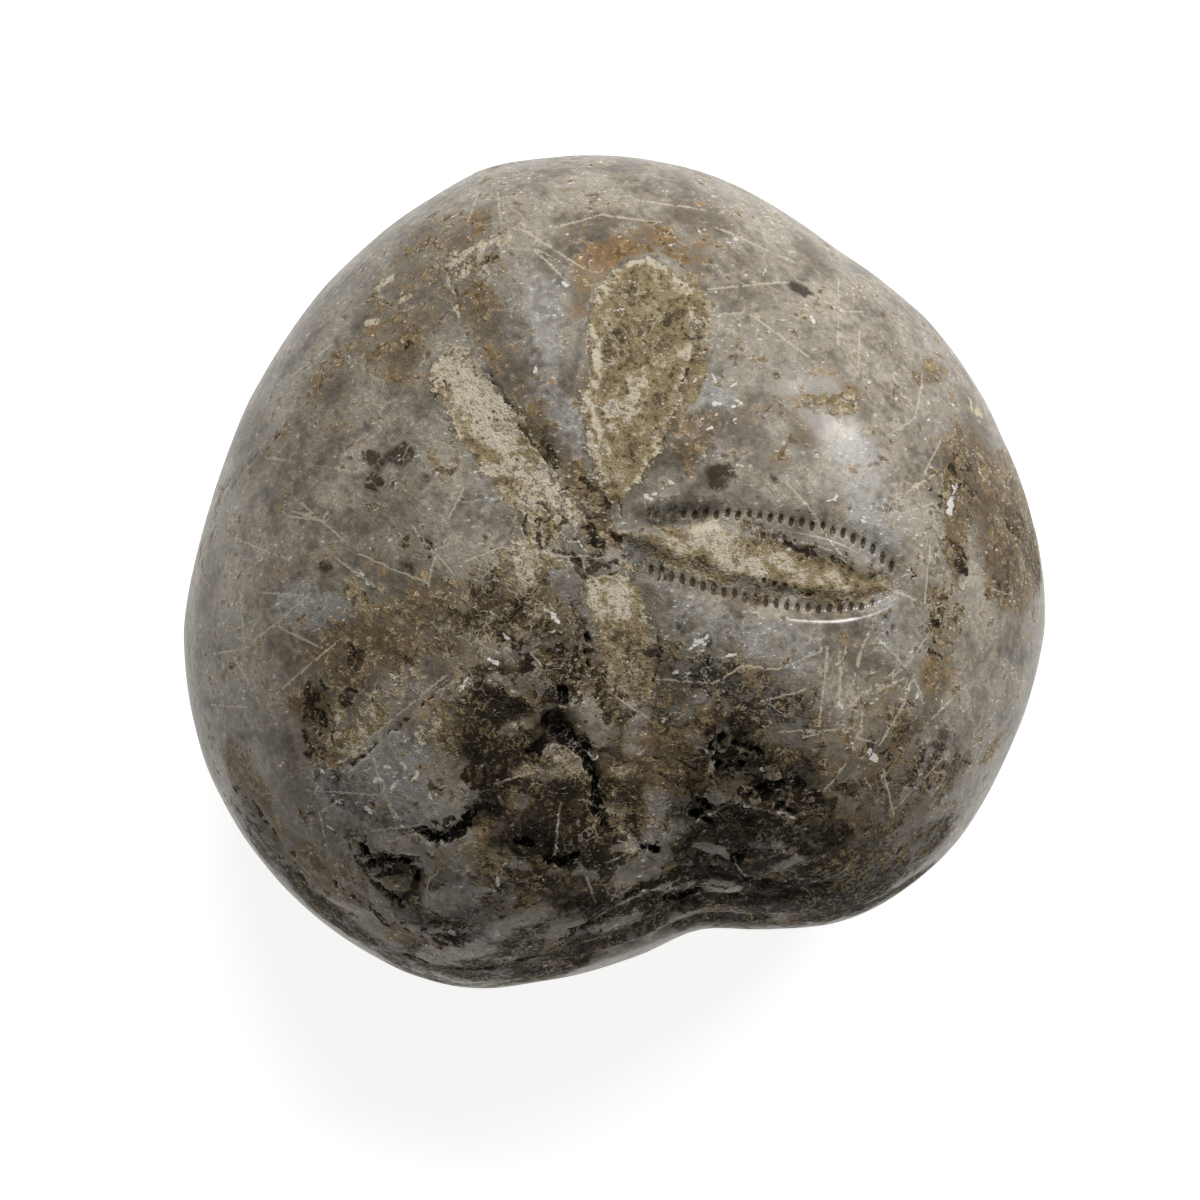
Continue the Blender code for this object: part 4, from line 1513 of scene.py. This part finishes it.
class Bench:
    """Lays out one material's nodes."""

    def __init__(self, name):
        self.material = bpy.data.materials.new(name)
        self.material.use_nodes = True
        self.tree = self.material.node_tree
        self.shader = self.tree.nodes["Principled BSDF"]
        self.count = 0

    def put(self, socket, value):
        """Links the value to the socket, or sets it there if it is plain."""
        if isinstance(value, Signal):
            value = value.socket
        if isinstance(value, bpy.types.NodeSocket):
            self.tree.links.new(value, socket)
        else:
            socket.default_value = value

    def node(self, kind, inputs, settings):
        """The outputs of a new node, with its settings made and its inputs linked or set."""
        made = self.tree.nodes.new(kind)
        self.count += 1
        made.location = (-220 * (1 + self.count % 12), -180 * (self.count // 12))
        for name, value in settings.items():
            setattr(made, name, value)
        for name, value in inputs.items():
            self.put(made.inputs[name], value)
        return made.outputs

    def signal(self, kind, inputs, settings, output=0):
        """One output of a new node, as a varying number."""
        return Signal(self, self.node(kind, inputs, settings)[output])

    def math(self, operation, *values):
        return self.signal("ShaderNodeMath", dict(enumerate(values)), {"operation": operation})

    def turned(self, place, angles, stretch=(1, 1, 1)):
        """The place stretched and then turned, so that patterns on it don't line up."""
        inputs = {"Vector": place, "Rotation": angles, "Scale": stretch}
        return self.node("ShaderNodeMapping", inputs, {})[0]

    def place_on_stone(self):
        """The place on the stone in millimetres."""
        in_metres = self.node("ShaderNodeTexCoord", {}, {})["Object"]
        return self.turned(in_metres, (0, 0, 0), (1 / MM,) * 3)

    def shifted(self, place, amount, size):
        """The place moved by smooth noise of the given size, so that cells on it have crooked edges."""
        inputs = {"Vector": place, "Scale": 1 / size, "Detail": 2}
        swing = self.node("ShaderNodeTexNoise", inputs, {"normalize": False})["Color"]
        inputs = {0: swing, 1: (amount,) * 3, 2: place}
        return self.node("ShaderNodeVectorMath", inputs, {"operation": "MULTIPLY_ADD"})[0]

    def cloud(self, place, size, octaves):
        """Noise between about -1 and 1, its widest lumps of the given size in millimetres."""
        inputs = {"Vector": place, "Scale": 1 / size, "Detail": octaves - 1, "Roughness": 1.0}
        return self.signal("ShaderNodeTexNoise", inputs, {"normalize": False}, "Fac")

    def cells(self, place, size, feature="F1"):
        """The outputs of a node that parts the stone in cells of the given size."""
        return self.node("ShaderNodeTexVoronoi", {"Vector": place, "Scale": 1 / size}, {"feature": feature})

    def cell_edges(self, place, size):
        """The distance in millimetres to the nearest edge between cells."""
        return Signal(self, self.cells(place, size, "DISTANCE_TO_EDGE")["Distance"]) * size

    def number(self, cells):
        """One random number for each of the cells."""
        return self.signal("ShaderNodeSeparateColor", {0: cells["Color"]}, {})

    def specks(self, place, size, radius, share):
        """Round specks of the given radius in a share of the cells of the given size."""
        cells = self.cells(place, size)
        distance = Signal(self, cells["Distance"]) * size
        chosen = self.number(cells).step(share + 0.01, share - 0.01)
        return distance.step(1.3 * radius, 0.7 * radius) * chosen

    def value(self, name):
        """The number that the mesh stores under a name."""
        return self.signal("ShaderNodeAttribute", {}, {"attribute_name": name}, "Fac")

    def mix(self, share, first, second):
        """A share of the second colour over the first."""
        return self.node("ShaderNodeMix", {0: share, 6: first, 7: second}, {"data_type": "RGBA"})[2]

    def tinted(self, colour, brightness):
        """The colour made brighter or darker."""
        colour = colour[:3] if isinstance(colour, tuple) else colour
        inputs = {0: colour, "Scale": brightness}
        return self.node("ShaderNodeVectorMath", inputs, {"operation": "SCALE"})[0]

    def bumped(self, height, distance, strength):
        """The normal of the surface with the height on it."""
        inputs = {"Height": height, "Distance": distance, "Strength": strength}
        return self.node("ShaderNodeBump", inputs, {})[0]

    def finish(self, values):
        """Puts the values in the shader's inputs by name."""
        for name, value in values.items():
            self.put(self.shader.inputs[name], value)


def rgba(colour):
    return (*colour, 1.0)


# ---- Finish ----

# Turns that keep one pattern from lining up with another.
TILTED = (1.0, 0.4, 0.2)
ASLANT = (0.3, 1.1, 0.8)
# Sizes in millimetres: of the lumps in the clouds, of the pieces that the calcite is healed from, and of
# the cells whose edges are the seams and the nets of hairlines.
BROAD, MEDIUM, RAGGED, GRAIN = 5.0, 1.5, 0.5, 0.14
PLATE, BLOCK, CHIP, CRUMB = 2.6, 1.9, 0.85, 0.38
SEAM, NET, SMALL_NET = 1.2, 2.8, 1.7
GRAIN_RELIEF = 0.14  # how deep the grain of the surface looks


class StoneBench(Bench):
    """The bench for the stone, with the noises and the painted layers that its finishes share."""

    def __init__(self, colours):
        super().__init__("polished_stone")
        self.colour = {name: rgba(getattr(colours, name)) for name in StoneColours.__annotations__}
        self.layer = {name: self.value(name) for name in PAINT_LAYERS}
        self.place = self.place_on_stone()
        self.tilted = self.turned(self.place, TILTED)
        self.broad = self.cloud(self.place, BROAD, 2)
        self.medium = self.cloud(self.tilted, MEDIUM, 3)
        self.ragged = self.cloud(self.turned(self.place, ASLANT), RAGGED, 3)
        self.grain = self.cloud(self.place, GRAIN, 2)
        self.wavy = self.shifted(self.place, 0.45, 0.75)
        crooked = self.shifted(self.tilted, 0.3, 0.9)
        self.plate = self.number(self.cells(self.wavy, PLATE))
        self.block = self.number(self.cells(self.turned(crooked, (0.2, 0.9, 0.4)), BLOCK))
        self.chip = self.number(self.cells(crooked, CHIP))
        self.crumb = self.number(self.cells(self.turned(crooked, (0.7, 0.2, 0.5)), CRUMB))
        self.crumble = (self.chip - 0.5) * 0.9 + (self.crumb - 0.5) * 0.8 + self.ragged * 0.3


def calcite(stone):
    """Mottled greys, each plate a little different, with bluish clear ones."""
    mottle = (stone.broad * 0.85 + stone.medium * 0.35 + stone.crumble * 0.1).step(-0.9, 0.5)
    colour = stone.mix(mottle, stone.colour["dark_grey"], stone.colour["grey"])
    blue = stone.layer["blue"] * 1.3 + stone.medium * 0.5 + stone.crumble * 0.25 + stone.broad * 0.3
    colour = stone.mix(blue.step(0.35, 0.95) * 0.65, colour, stone.colour["blue_grey"])
    light = 1.0 + (stone.plate - 0.5) * 0.22 + stone.medium * 0.12 + stone.crumble * 0.14
    # The pale layer adds painted light here, besides the paler plates.
    light = light + stone.ragged * 0.14 + stone.grain * 0.1 + stone.layer["pale"] * 0.3
    return stone.tinted(colour, light)


def stained(stone, colour):
    """Brown stain soaked into the calcite, and orange rust. Also gives where the stain is."""
    medium, crumble, layer = stone.medium, stone.crumble, stone.layer
    stain = (layer["stain"] - layer["light"] * 0.5 + crumble * 0.35 + medium * 0.3).step(0.15, 0.8)
    brown = stone.tinted(stone.colour["brown"], 1.0 + medium * 0.4 + crumble * 0.5 + stone.ragged * 0.25)
    colour = stone.mix(stain * 0.82, colour, brown)
    rust = (layer["rust"] + crumble * 0.35 + medium * 0.6).step(0.2, 1.1)
    orange = stone.tinted(stone.colour["rust"], 1.0 + crumble * 0.5 + medium * 0.3)
    return stone.mix(rust * 0.85, colour, orange), stain


def seams(stone):
    """Crooked dark seams, and the pale veins beside them, where the ground is crumbly."""
    medium, ragged, layer = stone.medium, stone.ragged, stone.layer
    seam = stone.cell_edges(stone.shifted(stone.place, 0.4, 0.8), SEAM) + ragged * 0.05
    # The darker ground here takes in the painted shade along the lower edge.
    ground = layer["worms"].most(layer["dim_and_edge_shade"] * 0.55).most(layer["stain"] * 0.5)
    crumbly = (ground + medium * 0.4).step(0.15, 0.5)
    dark = seam.step(0.15, 0.08) * crumbly * (ragged + medium).step(-0.3, 0.3)
    pale = abs(seam - 0.2).step(0.07, 0.03) * crumbly * (ragged - medium).step(-0.15, 0.15)
    return dark, pale


def with_sediment(stone, colour, seam, vein):
    """Dark, tan and chalky sediment, granular and crusted along the petals' edges, and where it is."""
    medium, ragged, crumble, layer = stone.medium, stone.ragged, stone.crumble, stone.layer
    dark_earth, ochre, chalk = (stone.colour[name] for name in ("dark_earth", "ochre", "chalk"))
    edge = stone.value("fill") + ragged * 0.2 + crumble * 0.1
    filled = edge.step(-0.06, 0.06)
    loose = (layer["ochre"].most(layer["chalk"]) + crumble * 0.35 + medium * 0.2).step(0.45, 0.56)
    sediment = filled.most(loose)
    crust = abs(edge - 0.28).step(0.3, 0.1) * filled * (medium + 0.3).step(-0.1, 0.4)
    tone = 0.4 + layer["chalk"] * 0.55 + crust * 0.3 - layer["shade"] * 0.38
    tone = tone + crumble * 0.4 + medium * 0.16 + ragged * 0.1 + stone.grain * 0.08
    earth = stone.mix(tone.step(-0.2, 0.5), dark_earth, ochre)
    earth = stone.mix(tone.step(0.5, 0.95), earth, chalk)
    colour = stone.mix(sediment * 0.95, colour, earth)
    rim = abs(edge + 0.14).step(0.26, 0.1) * (medium * 0.8 + crumble).step(-0.3, 0.2)
    grains = stone.specks(stone.place, 0.5, 0.11, 0.5).most(stone.specks(stone.tilted, 0.36, 0.06, 0.4))
    holes = (grains * sediment).most(rim * 0.8).most(seam * 0.85)
    colour = stone.mix(holes * 0.75, colour, dark_earth)
    return stone.mix(vein * 0.35, colour, chalk), sediment


def with_broken_ground(stone, colour, seam, vein):
    """Dark rubble, soot, spots, cracks and black pits, partly painted shade, and where rubble, soot and
    cracks or pits are.
    """
    medium, ragged, crumble, layer = stone.medium, stone.ragged, stone.crumble, stone.layer
    black, pore, ochre = (stone.colour[name] for name in ("soot_and_shade", "pore", "ochre"))
    # Dark broken ground, and painted shade along the lower edge in rubble colours.
    gloom_and_edge_shade = layer["dim_and_edge_shade"] * 1.15 - layer["light"] * 1.1 + crumble * 0.45 + medium * 0.25
    gloom_and_edge_shade = (gloom_and_edge_shade + stone.broad * 0.25).step(0.15, 0.9)
    rubble = (stone.block - 0.5) * 0.9 + crumble * 1.2 + medium * 0.5 + ragged * 0.3
    murk = stone.mix(rubble.step(-0.15, 1.05), black, stone.colour["murk"])
    murk = stone.mix((rubble + (stone.plate - 0.5)).step(0.5, 0.9) * 0.3, murk, ochre)
    murk = stone.mix(seam * 0.9, stone.mix(vein * 0.4, murk, ochre), black)
    colour = stone.mix(gloom_and_edge_shade * 0.92, colour, murk)
    # Black crust, and painted shade along the ledges and the lower edge.
    soot_and_shade = layer["soot_and_shade"] * (1.05 + crumble * 1.3 + medium * 0.7) - layer["light"] * 0.5
    soot_and_shade = soot_and_shade.step(0.45, 0.62)
    colour = stone.mix(soot_and_shade * 0.95, colour, stone.mix(rubble.step(-0.2, 0.9) * 0.3, black, murk))
    spots = (layer["spots"] * (1.0 + crumble * 0.4 + ragged * 0.3)).step(0.15, 0.75)
    colour = stone.mix(spots * 0.88, colour, stone.tinted(pore, 0.5))
    # Cracks, and painted shade along the ledges and the lower edge.
    cracks_and_edge_shade = (layer["ink_and_edge_shade"] * (1.05 + crumble * 0.8 + ragged * 0.5)).step(0.35, 0.7)
    colour = stone.mix(cracks_and_edge_shade * 0.85, colour, stone.tinted(pore, 0.4))
    # The black in the pits is painted shade.
    shaded_pits = (layer["shaded_pits"] * (1.2 + crumble * 1.1)).step(0.5, 0.65)
    return stone.mix(shaded_pits * 0.97, colour, stone.tinted(black, 0.3)), gloom_and_edge_shade, soot_and_shade, cracks_and_edge_shade.most(shaded_pits)


def with_hairlines(stone, colour, soot_and_shade):
    """Healed hairlines: the drawn ones, and faint nets between the plates."""
    medium, ragged = stone.medium, stone.ragged
    side = abs(stone.value("hairline_side") + ragged * 0.06).step(0.085, 0.03)
    drawn = side * stone.value("hairline_gap").step(0.4, 0.2) * (ragged + 0.5).step(-0.3, 0.2)
    net = stone.cell_edges(stone.turned(stone.wavy, (0.3, 0.5, 0.2)), NET)
    small_net = stone.cell_edges(stone.turned(stone.wavy, (0.9, 0.1, 1.2), (1.0, 1.0, 2.0)), SMALL_NET)
    faint = net.step(0.06, 0.02) * (stone.broad + medium * 0.5).step(-0.1, 0.3)
    fainter = small_net.step(0.05, 0.02) * (medium + ragged * 0.5).step(0.05, 0.4)
    lines = drawn.most(faint * 0.7).most(fainter * 0.5) * (1.0 - soot_and_shade * 0.6)
    return stone.mix(lines * 0.6, colour, stone.colour["chalk"])


def with_flecks(stone, colour, gloom_and_edge_shade):
    """White and dark flecks."""
    drift = stone.shifted(stone.turned(stone.place, (0.2, 0.1, 0.9), (1.0, 2.0, 1.0)), 0.2, 0.35)
    large = stone.specks(drift, 0.8, 0.13, 0.5)
    small = stone.specks(stone.turned(drift, (1, 0, 1)), 0.45, 0.08, 0.6)
    patches = (stone.broad * 0.6 + stone.medium + stone.layer["blue"] * 0.5).step(-0.4, 0.4)
    flecks = large.most(small) * patches * (1.0 - gloom_and_edge_shade * 0.6)
    colour = stone.mix(flecks * 0.85, colour, stone.colour["fleck"])
    dots = stone.specks(stone.turned(drift, (0, 1, 1)), 0.5, 0.07, 0.4)
    colour = stone.mix(dots * 0.5, colour, stone.colour["pore"])
    crisp = (stone.layer["white"] * (1.0 + stone.crumble)).step(0.35, 0.6)
    return stone.mix(crisp * 0.92, colour, stone.colour["fleck"])


def stone_material(colours):
    """Polished calcite with healed plates, stains, crumbly sediment in the petals and a broken front."""
    stone = StoneBench(colours)
    seam, vein = seams(stone)
    colour, stain = stained(stone, calcite(stone))
    colour, sediment = with_sediment(stone, colour, seam, vein)
    colour, gloom_and_edge_shade, soot_and_shade, cracks_and_edge_shade = with_broken_ground(stone, colour, seam, vein)
    pore = (stone.value("pores") + stone.ragged * 0.08).step(-0.1, 0.25)
    colour = stone.mix(pore * 0.9, colour, stone.colour["pore"])
    colour = with_flecks(stone, with_hairlines(stone, colour, soot_and_shade), gloom_and_edge_shade)
    gloss = stone.layer["gloss"]
    dull = soot_and_shade.most(sediment).most(pore).most(cracks_and_edge_shade).most(stain * 0.4).most(gloom_and_edge_shade * 0.95)
    height = stone.crumb * 0.4 + stone.chip * (0.2 + dull * 0.6) + stone.ragged * 0.3 + stone.grain * 0.2
    height = height * (0.35 + dull * 0.65) * (1.0 - gloss)
    stone.finish({
        "Base Color": colour,
        "Roughness": 0.42 + dull * 0.4 + stone.ragged * 0.06 - gloss * 0.15,
        "Specular IOR Level": 0.05,
        "Coat Weight": (0.25 + gloss * 0.75) * (1.0 - dull),
        "Coat Roughness": 0.2,
        "Normal": stone.bumped(height, GRAIN_RELIEF * MM, 0.6),
    })
    return stone.material


# ---- Operators ----


def add_object(scene, name, data):
    """A new object in the scene."""
    made = bpy.data.objects.new(name, data)
    scene.collection.objects.link(made)
    return made


def mesh_data(name, mesh):
    """The mesh written out as an object's data, after which the working mesh is gone."""
    data = bpy.data.meshes.new(name)
    mesh.to_mesh(data)
    mesh.free()
    return data


class FOSSIL_OT_build_test(bpy.types.Operator):
    """Builds the stone with its petals, pores and broken front, and gives it its finish"""

    bl_idname = "fossil.build_test"
    bl_label = "Build the stone"

    def execute(self, context):
        mesh, layers = build_test(context.scene.fossil_sizes)
        data = mesh_data("fossil_heart_urchin", mesh)
        if len(data.polygons) >= MAX_TRIANGLES:
            raise RuntimeError(f"the stone has {len(data.polygons)} triangles, which is too many")
        for name, values in layers.items():
            add_values(data, name, values)
        data.shade_smooth()
        data.materials.append(stone_material(context.scene.fossil_colours))
        piece = add_object(context.scene, "fossil_heart_urchin", data)
        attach(piece, "root")
        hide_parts(NODE)
        return {"FINISHED"}


def lay_floor(scene, settings):
    """A square floor, pale and evenly bright."""
    mesh = bmesh.new()
    bmesh.ops.create_grid(mesh, x_segments=1, y_segments=1, size=0.5 * settings.floor_size)
    data = mesh_data("floor", mesh)
    bench = Bench("floor")
    finish = {
        "Base Color": rgba(settings.floor_colour),
        "Roughness": 0.9,
        "Emission Color": WHITE_LIGHT,
        "Emission Strength": settings.floor_glow,
    }
    bench.finish(finish)
    data.materials.append(bench.material)
    floor = add_object(scene, "floor", data)


def light_surround(scene, strength):
    """Light of the given strength from all round, from surroundings that the camera sees as white."""
    world = bpy.data.worlds.new("surround")
    world.use_nodes = True
    tree = world.node_tree
    background = tree.nodes["Background"]
    background.inputs["Color"].default_value = WHITE_LIGHT
    seen = tree.nodes.new("ShaderNodeLightPath").outputs["Is Camera Ray"]
    brightness = tree.nodes.new("ShaderNodeMapRange")
    brightness.inputs["To Min"].default_value = strength
    tree.links.new(seen, brightness.inputs["Value"])
    tree.links.new(brightness.outputs["Result"], background.inputs["Strength"])
    scene.world = world


def soft_light(scene, name, place, size, power):
    """A square area light that points at the camera's target."""
    data = bpy.data.lights.new(name, "AREA")
    data.size = size
    data.energy = power
    aim = Vector(TARGET) * MM - Vector(place)
    turn = aim.to_track_quat("-Z", "Y").to_matrix().to_4x4()
    add_object(scene, name, data).matrix_world = Matrix.Translation(place) @ turn


def place_camera(scene):
    """The camera, almost straight above the stone."""
    data = bpy.data.cameras.new("camera")
    data.sensor_width = SENSOR
    data.lens = LENS
    data.shift_y = SHIFT_UP
    data.clip_start, data.clip_end = CLIP
    place, right, up, back = camera_axes()
    turn = Matrix((right, up, back)).transposed().to_4x4()
    scene.camera = add_object(scene, "camera", data)
    scene.camera.matrix_world = Matrix.Translation(place * MM) @ turn


class FOSSIL_OT_set_stage(bpy.types.Operator):
    """Lays the pale floor and sets up the lights and the camera"""

    bl_idname = "fossil.set_stage"
    bl_label = "Set the stage"

    def execute(self, context):
        scene = context.scene
        settings = scene.fossil_stage
        lay_floor(scene, settings)
        light_surround(scene, settings.surround)
        soft_light(scene, "side", SIDE_LIGHT, SIDE_LIGHT_SIZE, settings.side_power)
        soft_light(scene, "back", BACK_LIGHT, BACK_LIGHT_SIZE, settings.back_power)
        place_camera(scene)
        scene.view_settings.view_transform = "Standard"
        return {"FINISHED"}


class FOSSIL_PT_panel(bpy.types.Panel):
    """Lists the stone's sizes and colours, and the two steps"""

    bl_idname = "FOSSIL_PT_panel"
    bl_label = "Fossil heart urchin"
    bl_space_type = "VIEW_3D"
    bl_region_type = "UI"
    bl_category = "Fossil"

    def draw(self, context):
        scene = context.scene
        for group in (scene.fossil_sizes, scene.fossil_colours, scene.fossil_stage):
            box = self.layout.box()
            for name in group.__annotations__:
                box.prop(group, name)
        for operator in (FOSSIL_OT_build_test, FOSSIL_OT_set_stage):
            self.layout.operator(operator.bl_idname)


CLASSES = (
    TestSizes,
    StoneColours,
    StageSettings,
    FOSSIL_OT_build_test,
    FOSSIL_OT_set_stage,
    FOSSIL_PT_panel,
)


def register():
    for cls in CLASSES:
        bpy.utils.register_class(cls)
    bpy.types.Scene.fossil_sizes = PointerProperty(type=TestSizes)
    bpy.types.Scene.fossil_colours = PointerProperty(type=StoneColours)
    bpy.types.Scene.fossil_stage = PointerProperty(type=StageSettings)


def unregister():
    del bpy.types.Scene.fossil_stage
    del bpy.types.Scene.fossil_colours
    del bpy.types.Scene.fossil_sizes
    for cls in reversed(CLASSES):
        bpy.utils.unregister_class(cls)


def main():
    register()
    bpy.ops.fossil.build_test()
    bpy.ops.fossil.set_stage()


if __name__ == "__main__":
    main()
